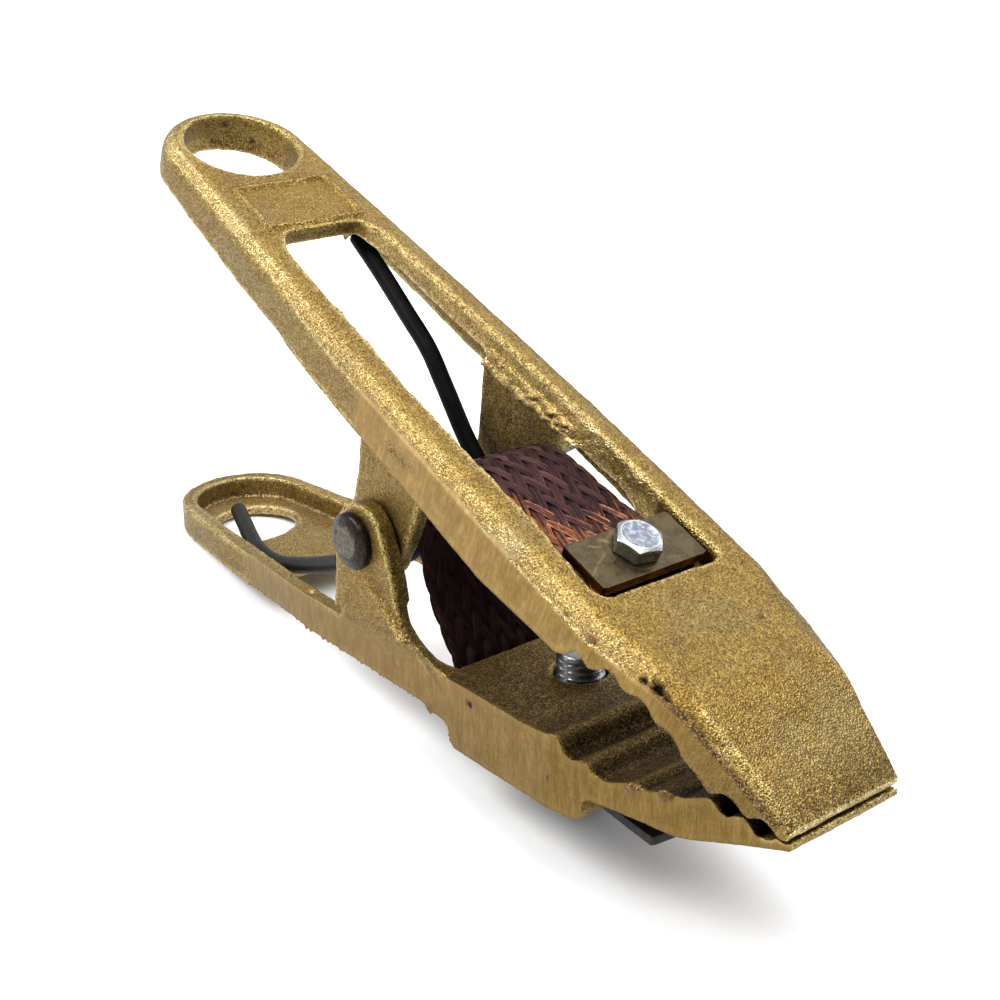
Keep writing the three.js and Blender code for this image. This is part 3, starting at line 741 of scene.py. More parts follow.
def shape_upper(points, normals, hollow):
    x, y, z = points.T
    _, ny, nz = normals.T
    # long top edges: a quarter ellipse in section, wider over the jaw
    widen = rise(44, 66, x)
    narrow = rise(82, 94, x)
    near = y < 0
    across = np.where(near, 4.6 + 1.4 * widen - 3.0 * narrow, 4.6 - 3.6 * narrow)
    down = np.where(near, 4.6 + 1.6 * widen - 3.6 * narrow, 4.6 - 3.6 * narrow)
    crown = along(UPPER_CROWN, x)
    t = np.clip((z - (crown - down)) / down, 0, 1)
    limit = along(UPPER_HALF, x) - across * (1 - np.sqrt(np.maximum(1 - t * t, 0)))
    points = clamp_sides(points, np.where(x > -52, limit, 99.0))
    x, y, z = points.T                      # views, so they follow the two moves below
    # the far ear's +x foot stands a little further to -x than the near one
    far_foot = rise(11, 14, y) * rise(8, 16, x) * fall(27, 33, x) * fall(32.6, 34.4, z)
    points[:, 0] -= 2.3 * far_foot
    # a small drip of flash under the -x edge of the window
    points[:, 2] -= 2.8 * bell(x + 70.6, y - 9.7) * (nz < -0.2) * (z < 38)

    top = rise(0.75, 0.95, nz) * rise(-1.5, -0.8, z - crown)
    amount = (1.0 - 0.30 * top) * (1 - 0.60 * fall(-60, -25, x))
    # distance outside the border of the blank name panel
    panel = np.maximum(np.abs(x + 80.15) - 9.05, np.abs(y) - 13.7)
    inside = fall(-0.4, 0.6, panel) * top
    points = roughen(points, normals, amount * (1 - 0.55 * inside))
    # lumpy rounded long edges
    band = rise(0.12, 0.5, np.abs(ny)) * rise(0.08, 0.5, nz) * (z > 30)
    lumpy = np.where(y < 0, 0.30 + 0.75 * rise(-60, -25, x) * fall(95, 108, x), 0.28)
    lumps = 0.36 * noise(points, (5.0, 3.0, 3.0), 53) + 0.20 * noise(points, 1.7, 54)
    points = push(points, normals, band * lumpy * lumps)
    # a crumbly flash lip under the far rail beside the ear
    lip_z = 31.3 + 1.8 * rise(-5, 8, x) + 1.5 * noise(points, (4.0, 9.0, 9.0), 59)
    lip = (rise(13.6, 14.6, y) * fall(19.0, 20.2, y) * rise(-1.2, 0.2, z - lip_z)
           * fall(35.4, 36.6, z) * rise(-20, -14, x) * fall(14, 20, x))
    crumble = 0.35 + 1.0 * np.abs(noise(points, (2.4, 1.8, 1.8), 55))
    points = push(points, normals + np.array([0, -0.5, 0]), lip * crumble)
    # low fillet border of the name panel, worn away in places
    ridge = bell(panel / 0.60) * top * (0.85 + 0.6 * noise(points, 2.6, 46))
    points[:, 2] += 0.90 * np.clip(ridge, 0, 1.15) - 0.25 * inside
    points, pit = carve(points, normals, UPPER_PITS)

    # over the jaw the ground side ends in a crease a little below the crown
    x, y, z = points.T
    crease = along(UPPER_CROWN, x) - along(CREASE_DEPTH, x) + 0.5 * noise(points, 3.0, 56)
    points, ground = grind(points, UPPER_HALF,
                           0.14 - 1.2 * fall(-30, -8, x + 3 * noise(points, 7, 41))
                           - 0.9 * rise(66, 84, x) * rise(-0.3, 0.6, z - crease))

    # areas that are coloured apart
    under = rise(0.3, 0.8, -nz)
    inner = fall(19, 21, np.abs(y)) * fall(33, 36, z)
    hole = rise(-16.2, -15.3, -np.hypot(x + 109.55, y)) * (1 - top) * fall(39.0, 40.4, z)
    below = crease - z
    slope = (y < -10) * rise(86, 99, x) * fall(123, 127, x) * (z > 20)
    web = bell((x - 6.5) / 5.5, (z - 31.2 - 0.12 * (x - 6.5)) / 1.7) * (y < -20)
    rail = ((y > 12) * rise(0.3, 0.7, -ny)
            * np.maximum(rise(31.5, 33.5, z), rise(12, 18, x) * rise(28, 30, z))
            * fall(39.4, 40.6, z) * (x < 48) * (x > -66))
    front = rise(0.5, 0.8, normals[:, 0]) * rise(124, 126, x)
    ground = ground * (1 - np.clip(web * 1.6 * (0.7 + 0.8 * noise(points, 2.0, 69)), 0, 1))
    patina_and_shade = strongest(
        # painted shade: darker under the lever
        0.55 * under * rise(-30, 10, x),
        0.35 * inner * rise(-58, -50, x),
        hole * (0.06 + 0.22 * noise(points, 4.0, 43)),
        # darker slope along the near side of the jaw, as cast
        slope * (0.92 * bell((below - 0.6) / 1.0) * (0.9 + 0.5 * noise(points, 2.2, 47))
                 + 0.36 * rise(-0.3, 0.6, below) * fall(1.5, 4.0, below)),
        # painted shadow: black in the opening between the closed jaws
        0.95 * under * rise(88, 96, x) * fall(121, 124, x),
        (0.30 + 0.95 * noise(points, 1.05, 57)) * inner * (y > 0) * (x < 24),
        web * (0.30 + 0.4 * noise(points, 0.9, 69)),
        # dark lines beside the panel border: patina, and painted shadow of its ridge
        (0.42 * bell((panel - 1.2) / 0.42) + 0.30 * bell((panel + 1.2) / 0.5)) * top)
    patina_and_shade = patina_and_shade * (1 - 0.9 * rail) * (1 - 0.9 * lip) * (1 - front)
    points = push(points, normals,
                  rail * (0.22 * noise(points, 2.2, 70) + 0.12 * noise(points, 1.1, 74)))
    # painted light and shade: the handle top, jaw top, near rounded edge, lip, far rail wall,
    # front face and the window's -x wall are brightened; the far inner wall, the slope under the
    # crease and the ground sides are darkened
    shade = (1.0 + 0.10 * top * fall(-60, 0, x) + 0.34 * rise(92, 112, x) * top
             + 0.62 * band * (y < 0) * (1 - 0.85 * rise(84, 95, x)) + 0.75 * lip
             + (0.55 + 1.0 * rise(4, 14, x)) * rail * (1 - lip)
             - 0.22 * inner * (y > 0) * (1 - rail)
             + 0.7 * front + 0.25 * inner * (x < -60) + 0.02 * hole
             - 0.16 * slope * rise(1.0, 4.0, below) - 0.05 * ground)
    return points, {"ground": ground, "patina_and_shade": np.clip(patina_and_shade, 0, 1), "pit": pit,
                    "shade": shade}


def shape_lower(points, normals, hollow):
    x, y, z = points.T
    nx, _, nz = normals.T
    ear = (z > -21.5) & (x < 31)
    points = clamp_sides(points, np.where((x > -78) & ~ear, along(LOWER_HALF, x), 99.0))
    points = roughen(points, normals, np.where(x < 31, 0.6, 1.0))
    points, pit = carve(points, normals, LOWER_PITS)
    x, y, z = points.T                      # views, so z follows the ragged edge
    half = along(LOWER_HALF, x)
    # ragged trimmed flash along the bottom edge of the near side
    ragged = np.clip(noise_at(x / 1.15, 0, 3.0, 48) - 0.05, 0, 1) * 1.7
    near = rise(-2.2, -0.6, -y - half) * fall(-31.4, -29.0, z) * fall(26, 34, x)
    points[:, 2] -= ragged * near * rise(-112, -104, x)
    # the sides are ground, except the ears and the -x end
    on_ear = (z > -19.5 + 1.5 * noise(points, 3, 49)) & (x < 33)
    points, ground = grind(points, LOWER_HALF, np.where(
        on_ear, -2.0, 0.14 - 1.2 * fall(-80, -50, x + 5 * noise(points, 9, 42))))

    # areas that are coloured apart
    outside = np.abs(y) - half
    deck = (rise(31.0, 35, x) * fall(1.0, 2.2, outside + 2.6) * rise(-34, -30, z)
            * fall(0.6, 0.95, -nz))
    tray = fall(-30, 30, x) * fall(-0.6, 0.2, outside + 4.0) * fall(-23.6, -22.9, z)
    # the inner edge of the ear's +x foot
    foot = rise(8, 14, x) * fall(30, 36, x) * rise(-23, -20, z) * rise(0.2, 0.7, nx + 0.6 * nz)
    # painted shadow: the two openings between the closed jaws are painted black, as deep shade
    shadow_edge_noise = noise(points, 2.4, 71)
    gap = (rise(98, 104.5, x + 3.0 * shadow_edge_noise) * fall(121.4, 124.2, x + 0.8 * shadow_edge_noise)
           * rise(-29, -27, z) * rise(0.1, 0.5, nz) * (1 - ground))
    # painted highlight: a bright line where the deck and the grooves run out into the ground
    # side
    cut = rise(-0.75, -0.35, outside) * (1 - ground) * rise(30, 34, x) * rise(0.0, 0.4, nz)
    # painted light on the top of the tray's -x rim and on the tip of the jaw
    rim = (x < 0) * rise(-3.6, -2.8, outside) * rise(0.5, 0.9, nz) * rise(-26, -24, z)
    tip = rise(122.4, 124, x) * rise(0.3, 0.7, nz)
    # the deck is darker as patina and as painted shade under the upper jaw
    patina_and_shade = deck * (0.80 + 0.25 * noise(points, 6.0, 44)) * (1 - 0.92 * rise(122, 124, x))
    patina_and_shade = strongest(
        np.clip(patina_and_shade - 0.42 * deck * rise(0.05, 0.35, -hollow), 0, 1),
        tray * (0.20 + 0.22 * noise(points, 5.0, 45)),
        0.45 * foot,
        # painted shade: darker on faces that look down
        0.35 * rise(0.5, 0.9, -nz),
        gap)
    patina_and_shade = patina_and_shade * (1 - 0.9 * cut) * (1 - 0.85 * rim) * (1 - 0.9 * tip)
    # painted light and shade: the tray floor, the -x part of the deck, the rim top, the tip and
    # the edge line are brightened; the ground sides, the +x part of the deck, its grooves and
    # the openings between the jaws are darkened
    shade = (1.0 - 0.16 * ground - 0.08 * ground * rise(60, 80, x)
             + 0.50 * tray + 0.28 * tray * rise(0.6, 0.9, nz)
             + 0.22 * deck * fall(62, 68, x) - 0.12 * deck * rise(62, 68, x)
             - (0.48 + 0.27 * rise(0.02, 0.3, hollow)) * gap + 0.45 * rim + 0.5 * tip
             - 0.45 * deck * rise(0.04, 0.35, hollow) * (1 - tip) + 0.9 * cut)

    points[:, 2] += tip * (0.25 + 0.55 * np.abs(noise(points, 1.5, 65)))
    # torn edge and a burr where the runner was broken off
    torn = rise(-2.2, -0.6, -y - half) * rise(29, 31, x) * fall(37, 39, x) * fall(-34, -32, z)
    points[:, 0] -= 1.5 * torn * np.abs(noise_at(0, 0, z / 1.2, 66))
    burr = bell((x - 28.2) / 1.5, (y + 25.3) / 1.6, (z + 33.2) / 1.3)
    points += (burr[:, None] * np.array([-0.3, -0.1, -1.9])
               * (0.7 + 0.6 * noise(points, 0.9, 67))[:, None])
    crumb = np.zeros(len(points))
    for cx, cy, cz, radius in LOWER_CRUMBS:
        away = np.sqrt((x - cx) ** 2 + (y - cy) ** 2 + (z - cz) ** 2) / radius
        lump = fall(0.4, 1.0, away + 0.25 * noise(points, 0.8, 58))
        points = push(points, normals + np.array([0, -0.2, 0.4]), 0.5 * lump)
        crumb = np.maximum(crumb, lump)
    pit = strongest(pit, 0.45 * np.clip(burr * 1.6, 0, 1), 0.45 * crumb)
    patina_and_shade = np.maximum(patina_and_shade, 0.75 * rise(0.15, 0.5, crumb) * fall(0.6, 0.9, crumb))
    # the ear's skin fades into the ground side below it
    skin = rise(-27, -20, z + 2.0 * noise(points, 3.0, 68)) * (x < 33) * (x > -16)
    return points, {"ground": ground * (1 - 0.85 * skin), "patina_and_shade": np.clip(patina_and_shade, 0, 1),
                    "pit": pit, "shade": shade}


def lower_ears(points):
    x, _, z = points.T
    return (z > -21.5) & (x < 32) & (x > -10)


casting("upper_casting", "upper_jaw", UPPER, shape_upper, UPPER_HALF, -35)
casting("lower_casting", "lower_jaw", LOWER, shape_lower, LOWER_HALF, -62, lower_ears)

# ================================================================ torsion spring
WIRE_RADIUS = 2.3
COIL_RADIUS = 6.75
COIL_Y = 12.4                               # half length of the coil
TURNS = 4
COIL_START = -68.5                          # degrees about the pivot
COIL_END = 42.5 + 360 * TURNS
# middle of the wire in the legs: x, y, z in the lever's own frame
LOWER_LEG = [(-94.2, -3.9, -26.7), (-83.4, -8.1, -26.7), (-73.3, -12.1, -26.7),
             (-65, -14.9, -26.7), (-57.5, -15.9, -26.7), (-51, -16.1, -26.0),
             (-45.4, -15.6, -24.6), (-35, -14.8, -21.3), (-24.5, -13.9, -17.3),
             (-13, -12.9, -12.7)]
UPPER_LEG = [(-12.1, 12.6, 12.8), (-18.7, 12.7, 16.5), (-25.3, 12.9, 20.1),
             (-33.2, 13.2, 24.0), (-45.6, 13.9, 26.8), (-60.2, 14.6, 30.1),
             (-72.6, 15.0, 32.5)]


def make_spring():
    """one wire in two objects, split where the lower leg meets the coil"""
    coil = []
    steps = 22 * TURNS + 6
    for i in range(steps + 1):
        t = i / steps
        a = math.radians(COIL_START + (COIL_END - COIL_START) * t)
        coil.append((COIL_RADIUS * math.cos(a), -COIL_Y + 2 * COIL_Y * t,
                     COIL_RADIUS * math.sin(a)))
    wire = smooth_path([*LOWER_LEG, *coil, *upper_to_lower(UPPER_LEG)], 0.55)
    split = np.argmin(np.linalg.norm(wire - np.array(coil[1]), axis=1))

    points, faces = tube(wire[:split + 2], WIRE_RADIUS, 20, 0.45)
    make("spring_lower_leg", points, faces, LOWER, SPRING, "torsion_spring", 50,
         {"sheen": np.full(len(points), 1.0)})
    points, faces = tube(wire[split - 1:], WIRE_RADIUS, 20, 0.45)
    sheen = 0.05 + 0.9 * fall(6, 12, np.hypot(points[:, 0], points[:, 2]))
    make("spring_coil", points, faces, LOWER, SPRING, "torsion_spring", 50,
         {"sheen": sheen}, blend=((0, -COIL_Y + 0.6, 0), (0, COIL_Y, 0)))


make_spring()

# ================================================================ stacks of clamped parts
PLAY = 0.1                                  # air between neighbouring parts
BRAID_FLAT = 2.4                            # thickness of the braid where it is clamped

# strap plate on the upper lever
STRAP_X0, STRAP_X1 = 51.85, 66.0
STRAP_HALF_Y = 15.08
STRAP_TOP = 39.84
STRAP_THICK = 2.4
strap_braid_z = STRAP_TOP - STRAP_THICK - PLAY - BRAID_FLAT / 2

# under the lower jaw: boss, braid, cable plate, lock washer, bolt head
BOSS_Z = -40.4
CABLE_THICK = 2.3
LOCK_THICK = 2.3
braid_top = BOSS_Z - PLAY
cable_braid_z = braid_top - BRAID_FLAT / 2
cable_top = braid_top - BRAID_FLAT - PLAY
cable_bottom = cable_top - CABLE_THICK
lock_bottom = cable_bottom - PLAY - LOCK_THICK
cable_head_z = lock_bottom - PLAY
CABLE_X, CABLE_Y = 51.5, 0.8                # axis of the cable bolt

# ================================================================ copper braid
# middle of the braid: x, z, thickness; the first part in the upper frame
BRAID_UPPER = [
    (65.6, strap_braid_z, 2.4), (58, strap_braid_z, 2.4), (52.6, strap_braid_z, 2.4),
    (50.0, 35.8, 2.8), (47.6, 35.0, 3.4), (45, 34.3, 4.0), (38, 33.4, 4.4), (32, 33.0, 4.4),
    (25.6, 32.6, 4.4), (19.2, 31.2, 4.4), (14.6, 28.8, 4.4)]
BRAID_LOWER = [
    (19.7, 17.7, 4.4), (15.8, 12.4, 4.4), (13.6, 6.4, 4.4), (13.1, 0, 4.4), (13.7, -5, 4.4),
    (15.2, -10, 4.4), (17.2, -14.5, 4.4), (20.0, -19, 4.4), (23.2, -23.5, 4.4),
    (26.2, -28, 4.4), (28.3, -33, 4.4), (29.6, -37.5, 4.0), (32.0, -40.8, 3.4),
    (35.6, braid_top - 1.35, 2.6), (38.5, cable_braid_z, 2.4), (52, cable_braid_z, 2.4),
    (66.5, cable_braid_z, 2.4)]
BRAID_Y0, BRAID_Y1 = -15.6, 12.8
HALF_W = (BRAID_Y1 - BRAID_Y0) / 2          # half width and half thickness of the section
HALF_T = 2.2
TOWS = 24                                   # bundles of wires running each way
WIRES = 7                                   # wires in a tow
WIRE_PITCH = 0.33
BRAID_WIRE_RADIUS = 0.165
BRAID_WIRE_SIDES = 5
BRAID_ANGLE = math.radians(18.5)
BRAID_STEP = 1.25                           # spacing of wire rings along the wire
CORE_RINGS, CORE_SIDES = 160, 60
CORE_INSET = 1.05


def make_braid():
    upper = np.array(BRAID_UPPER)
    upper_xyz = np.column_stack([upper[:, 0], np.zeros(len(upper)), upper[:, 1]])
    upper[:, :2] = upper_to_lower(upper_xyz)[:, [0, 2]]
    line = np.vstack([upper, BRAID_LOWER])
    line = smooth_path(np.insert(line, 1, 0.0, axis=1), 0.4)    # x, 0, z, thickness
    line_s = path_length(line)
    length = line_s[-1]
    tangent = unit(np.gradient(line[:, [0, 2]], axis=0))
    line_normal = np.stack([-tangent[:, 1], tangent[:, 0]], 1)

    def braid_point(s, w, h):
        """s along the braid; w across and h off the middle, in half widths and half
        thicknesses"""
        centre = np.stack([np.interp(s, line_s, line[:, k]) for k in (0, 2)], 1)
        normal = unit(np.stack([np.interp(s, line_s, column) for column in line_normal.T], 1))
        offset = h * 0.5 * np.interp(s, line_s, line[:, 3])
        return np.stack([centre[:, 0] + normal[:, 0] * offset,
                         (BRAID_Y0 + BRAID_Y1) / 2 + w * HALF_W,
                         centre[:, 1] + normal[:, 1] * offset], 1)

    # flattened-tube section as a superellipse, measured by its arc length q
    a = np.linspace(0, 2 * math.pi, 721)
    section_w = HALF_W * np.sign(np.cos(a)) * np.abs(np.cos(a)) ** 0.36
    section_h = HALF_T * np.sign(np.sin(a)) * np.abs(np.sin(a)) ** 0.62
    section_q = np.concatenate([[0], np.cumsum(np.hypot(np.diff(section_w),
                                                        np.diff(section_h)))])
    girth = section_q[-1]
    tow_pitch = girth / TOWS

    def on_section(q):
        q = np.mod(q, girth)
        return np.interp(q, section_q, section_w), np.interp(q, section_q, section_h)

    def section(q):
        """place on the section and outward direction"""
        q = np.mod(q, girth)
        w, h = on_section(q)
        w_next, h_next = on_section(q + 0.15)
        dw, dh = w_next - w, h_next - h
        size = np.hypot(dw, dh) + 1e-9
        return w, h, dh / size, -dw / size

    rng = np.random.default_rng(7)
    count = int(length / (BRAID_STEP * math.cos(BRAID_ANGLE)))
    s = np.linspace(0, length, count)
    sides = BRAID_WIRE_SIDES
    around = np.linspace(0, 2 * math.pi, sides, endpoint=False)[None, :, None]
    points, faces = [], []
    masks = {"strand": [], "bright": [], "low_shade": [], "core": []}

    def add(piece, rings, ring_sides, **values):
        """values are one number, or one for each ring"""
        faces.append(ring_quads(rings, ring_sides, start=sum(map(len, points))))
        points.append(piece)
        for name, value in values.items():
            masks[name].append(np.repeat(np.broadcast_to(value, rings), ring_sides))

    def add_wire(way, i, k, tow_tone):
        from_middle = k - (WIRES - 1) / 2
        jitter = rng.normal(0, 0.045)
        drift = 0.10 * noise_at(s / 9.0, i * 3.1 + k * 1.7, way * 5.0, 51)
        sideways = way * s * math.tan(BRAID_ANGLE)
        tow_q = i * tow_pitch + sideways
        q = tow_q + (from_middle * WIRE_PITCH + jitter + drift) / math.cos(BRAID_ANGLE)
        # over two and under two of the tows that run the other way
        crossing = (tow_q + sideways) / tow_pitch
        weave = np.sin(math.pi / 2 * (i + crossing) + math.pi / 4)
        weave = way * np.clip(1.55 * weave, -1, 1) * 0.30
        crown = (-0.05 * from_middle * from_middle / 9
                 + 0.05 * noise_at(s / 3.0, i * 1.3, k * 2.3, 52))
        w, h, out_w, out_h = section(q)
        lift = weave + crown - 0.42
        centre = braid_point(s, (w + out_w * lift) / HALF_W, (h + out_h * lift) / HALF_T)
        direction = unit(np.gradient(centre, axis=0))
        side = unit(np.cross(direction, np.array([0.02, 1.0, 0.03])))
        other = np.cross(direction, side)
        rings = centre[:, None, :] + BRAID_WIRE_RADIUS * (
            np.cos(around) * side[:, None, :] + np.sin(around) * other[:, None, :])
        strand = 0.35 * tow_tone + 0.65 * rng.random()
        # brighter, more orange near the strap plate and along the near edge
        near = -w / HALF_W
        by_plate = fall(15 + 9 * rng.random(), 25 + 9 * rng.random(), s)
        by_edge = rise(0.05, 0.85, near) * fall(32, 46, s)
        low_edge = rise(0.86, 1.0, near) * rise(52, 60, s) * (rng.random() > 0.6)
        bright = (0.58 * by_plate * (0.05 + 1.05 * rng.random())
                  + 0.72 * by_edge * (0.25 + 0.95 * rng.random())
                  + 0.26 * (rng.random() - 0.5) + 0.40 * low_edge)
        # one scorched spot on the crown
        scorch = 0.75 * bell((s - 29.0) / 2.2, (w / HALF_W + 0.22) / 0.13)
        # the lower end of every wire is darker, as painted shade
        add(rings.reshape(-1, 3), count, sides,
            strand=strand, bright=bright, low_shade=rise(50, 60, s), core=scorch)

    for way in (1, -1):
        for i in range(TOWS):
            tow_tone = rng.random()
            for k in range(WIRES):
                add_wire(way, i, k, tow_tone)

    # dark inner core, so that light does not pass between the tows
    w, h, out_w, out_h = section(np.linspace(0, girth, CORE_SIDES, endpoint=False))
    core = [braid_point(np.full(CORE_SIDES, at), (w - out_w * CORE_INSET) / HALF_W,
                        (h - out_h * CORE_INSET) / HALF_T)
            for at in np.linspace(0.3, length - 0.3, CORE_RINGS)]
    add(np.vstack(core), CORE_RINGS, CORE_SIDES, strand=0.3, bright=0.0, low_shade=0.0, core=1.0)
    make("braid_strap", np.vstack(points), np.vstack(faces), LOWER, COPPER, "copper_braid",
         attributes={name: np.concatenate(parts) for name, parts in masks.items()},
         blend=((-4.2, 0, -13.4), (7.2, 0, 22.9)))


make_braid()

# ================================================================ bolts
BOLT_SIDES = 120
BOLT_ANGLES = np.arange(BOLT_SIDES) * 2 * math.pi / BOLT_SIDES


def bolt_ring(radius, z, turn=0.0):
    angles = BOLT_ANGLES + turn
    return np.stack([radius * np.cos(angles), radius * np.sin(angles),
                     np.broadcast_to(z, angles.shape)], 1)


def hex_rings(across_flats, height, turn, flat_radius, dish):
    """chamfered hexagon head from the top down to z = 0, as (ring, top mask); the flat
    round top is dished"""
    turn = math.radians(turn)
    ones = np.ones(BOLT_SIDES)
    from_corner = np.mod(BOLT_ANGLES + turn - turn, math.pi / 3) - math.pi / 6
    outline = (across_flats / 2) / np.cos(from_corner)
    outline = np.minimum(outline, across_flats / math.sqrt(3) * 0.985)
    chamfer = math.tan(math.radians(28))
    rings = []

    def add(radius, z, top=0.0):
        rings.append((bolt_ring(radius, z, turn), top))

    for f in (0.25, 0.5, 0.75, 0.9):
        add(ones * flat_radius * f, height - dish * fall(0.86, 0.98, f), 1.0)
    add(ones * flat_radius * 0.955, height - dish * 0.35, 1.0)
    add(ones * flat_radius, height, 0.1)
    for f in (0.12, 0.45, 0.8, 0.97):
        radius = flat_radius + (outline - 0.08 - flat_radius) * f
        add(radius, height - (radius - flat_radius) * chamfer * rise(0, 0.2, f))
    edge = height - (outline - flat_radius) * chamfer
    add(outline - 0.02, edge - 0.07)
    add(outline, edge - 0.22)
    for f in (0.35, 0.7, 1.0):
        add(outline, (edge - 0.22) * (1 - f) + 0.25 * f)
    add(outline - 0.10, 0.05)
    add(np.minimum(outline - 0.2, across_flats / 2 * 0.97), 0.0)
    return rings


def thread_rings(radius, pitch, start, end, tip):
    """threaded shank from z = start down to z = end, chamfered by tip at its end"""
    rings = []
    for z in np.arange(start, end - 1e-6, -pitch / 12):
        phase = np.mod(z / pitch + BOLT_ANGLES / (2 * math.pi), 1.0)
        crest = np.abs(phase * 2 - 1)       # 0 at the root, 1 at the crest
        profile = np.clip((crest - 0.18) / 0.70, 0, 1)
        cut = np.minimum(radius - 0.60 * pitch * (1 - profile), radius - tip + (z - end))
        rings.append((bolt_ring(cut, z), 0.0))
    return rings


def bolt(head, neck, thread):
    """neck is a list of (radius, z) between the head and the thread"""
    rings = hex_rings(**head)
    rings += [(bolt_ring(radius, z), 0.0) for radius, z in neck]
    rings += thread_rings(**thread)
    start_fan, end_fan = fans(len(rings), BOLT_SIDES)
    faces = ring_quads(len(rings), BOLT_SIDES).tolist() + start_fan + end_fan
    centres = [(0, 0, head["height"] - head["dish"]), (0, 0, thread["end"])]
    top = np.append(np.repeat([mask for _, mask in rings], BOLT_SIDES), [1.0, 0.0])
    return np.vstack([ring for ring, _ in rings] + [centres]), faces, top


def make_strap_bolt():
    """M6, standing on the strap plate"""
    points, faces, top = bolt(
        head=dict(across_flats=10.0, height=4.0, turn=19.4, flat_radius=4.35, dish=0.13),
        neck=[(3.4, 0.0), (2.98, -0.15)],
        thread=dict(radius=2.95, pitch=1.0, start=-0.3, end=-16.0, tip=0.8))
    make("strap_bolt_m6", points + np.array([58.68, -0.2, STRAP_TOP + PLAY]), faces, UPPER,
         ZINC, "strap_bolt", 24, {"top": top})


def make_cable_bolt():
    """M12, head down under the cable plate, threaded end up through the deck"""
    points, faces, top = bolt(
        head=dict(across_flats=18.0, height=7.5, turn=10, flat_radius=7.9, dish=0.25),
        neck=[(6.8, 0.0), (5.78, -0.3)],
        thread=dict(radius=5.75, pitch=1.75, start=-0.5, end=-30.0, tip=1.1))
    x, y, z = points.T
    points = np.stack([x + CABLE_X, -y + CABLE_Y, cable_head_z - z], 1)
    make("cable_bolt_m12", points, faces, LOWER, ZINC_DULL, "cable_bolt", 24,
         {"top": top * 0.6})


def make_lock_washer():
    """split washer of square wire, open at +x"""
    steps = 96
    gap = 7.0                               # degrees
    # radius, height
    profile = [(6.2, 0.25), (6.45, 0.0), (9.95, 0.0), (10.2, 0.25), (10.2, 2.05),
               (9.95, LOCK_THICK), (6.45, LOCK_THICK), (6.2, 2.05)]
    points = []
    for i in range(steps + 1):
        a = math.radians(gap / 2 + (360 - gap) * i / steps)
        for radius, z in profile:
            points.append((CABLE_X + radius * math.cos(a), CABLE_Y + radius * math.sin(a),
                           lock_bottom + z))
    sides = len(profile)
    faces = ring_quads(steps + 1, sides).tolist()
    faces.append(range(sides))
    faces.append(range(steps * sides + sides - 1, steps * sides - 1, -1))
    make("lock_washer", np.array(points), faces, LOWER, ZINC_DULL, "cable_lock_washer", 30,
         {"top": np.zeros(len(points))})


make_strap_bolt()
make_cable_bolt()
make_lock_washer()


# ================================================================ plates
def plate(x0, x1, y0, y1, z0, z1, hole, hole_radius, corner, bevel, rings):
    """rectangular plate with rounded corners, broken edges and a round hole"""
    sides = 160
    angles = np.arange(sides) * 2 * math.pi / sides
    cx, cy = hole
    # make sure the four corners are sampled
    for x in (x0, x1):
        for y in (y0, y1):
            for shift in (-0.0275, 0.0, 0.0275):
                a = math.atan2(y - cy, x - cx) + shift
                apart = np.abs(np.mod(angles - a + math.pi, 2 * math.pi) - math.pi)
                angles[np.argmin(apart)] = a % (2 * math.pi)
    angles.sort()

    def reach(step, centre, low, high):
        """distance to the side that a ray with this step meets"""
        if abs(step) <= 1e-9:
            return 1e9
        return ((high if step > 0 else low) - centre) / step

    def outline(inset):
        left, right, bottom, top = x0 + inset, x1 - inset, y0 + inset, y1 - inset
        c = max(corner - inset, 0.02)
        points = []
        for a in angles:
            dx, dy = math.cos(a), math.sin(a)
            t = min(reach(dx, cx, left, right), reach(dy, cy, bottom, top))
            x, y = cx + dx * t, cy + dy * t
            if (x < left + c or x > right - c) and (y < bottom + c or y > top - c):
                core = np.array([min(max(x, left + c), right - c),
                                 min(max(y, bottom + c), top - c)])
                out = np.array([x, y]) - core
                x, y = core + out / max(np.linalg.norm(out), 1e-9) * c
            points.append((x, y))
        return np.array(points)

    rows = []

    def add(ring, z):
        rows.append(np.column_stack([ring, np.full(len(ring), z)]))

    inner = np.stack([cx + hole_radius * np.cos(angles), cy + hole_radius * np.sin(angles)], 1)
    flat, soft, full = outline(bevel), outline(bevel * 0.29), outline(0)
    add(inner, z1 - 0.1)
    for f in np.linspace(0.0, 1.0, rings):
        add(inner + (flat - inner) * (f if f > 0 else 0.02), z1)
    add(soft, z1 - bevel * 0.29)
    add(full, z1 - bevel)
    for f in (0.33, 0.66):
        add(full, z1 - bevel + (z0 + bevel - z1 + bevel) * f)
    add(full, z0 + bevel)
    add(soft, z0 + bevel * 0.29)
    for f in np.linspace(1.0, 0.0, rings):
        add(inner + (flat - inner) * f, z0)
    return np.vstack(rows), ring_quads(len(rows), sides, closed=True).tolist()


# on the strap plate: start x, y, end x, y, width, strength
SCRATCHES = [(61.6, -14.8, 57.0, -7.4, 0.17, 0.45), (60.0, -8.2, 58.9, -5.3, 0.16, 0.40),
             (53.2, -6.5, 55.0, -4.4, 0.3, 0.45), (54.2, -10.2, 55.6, -7.0, 0.14, 0.5),
             (63.5, 4, 64.8, 9, 0.12, 0.2)]


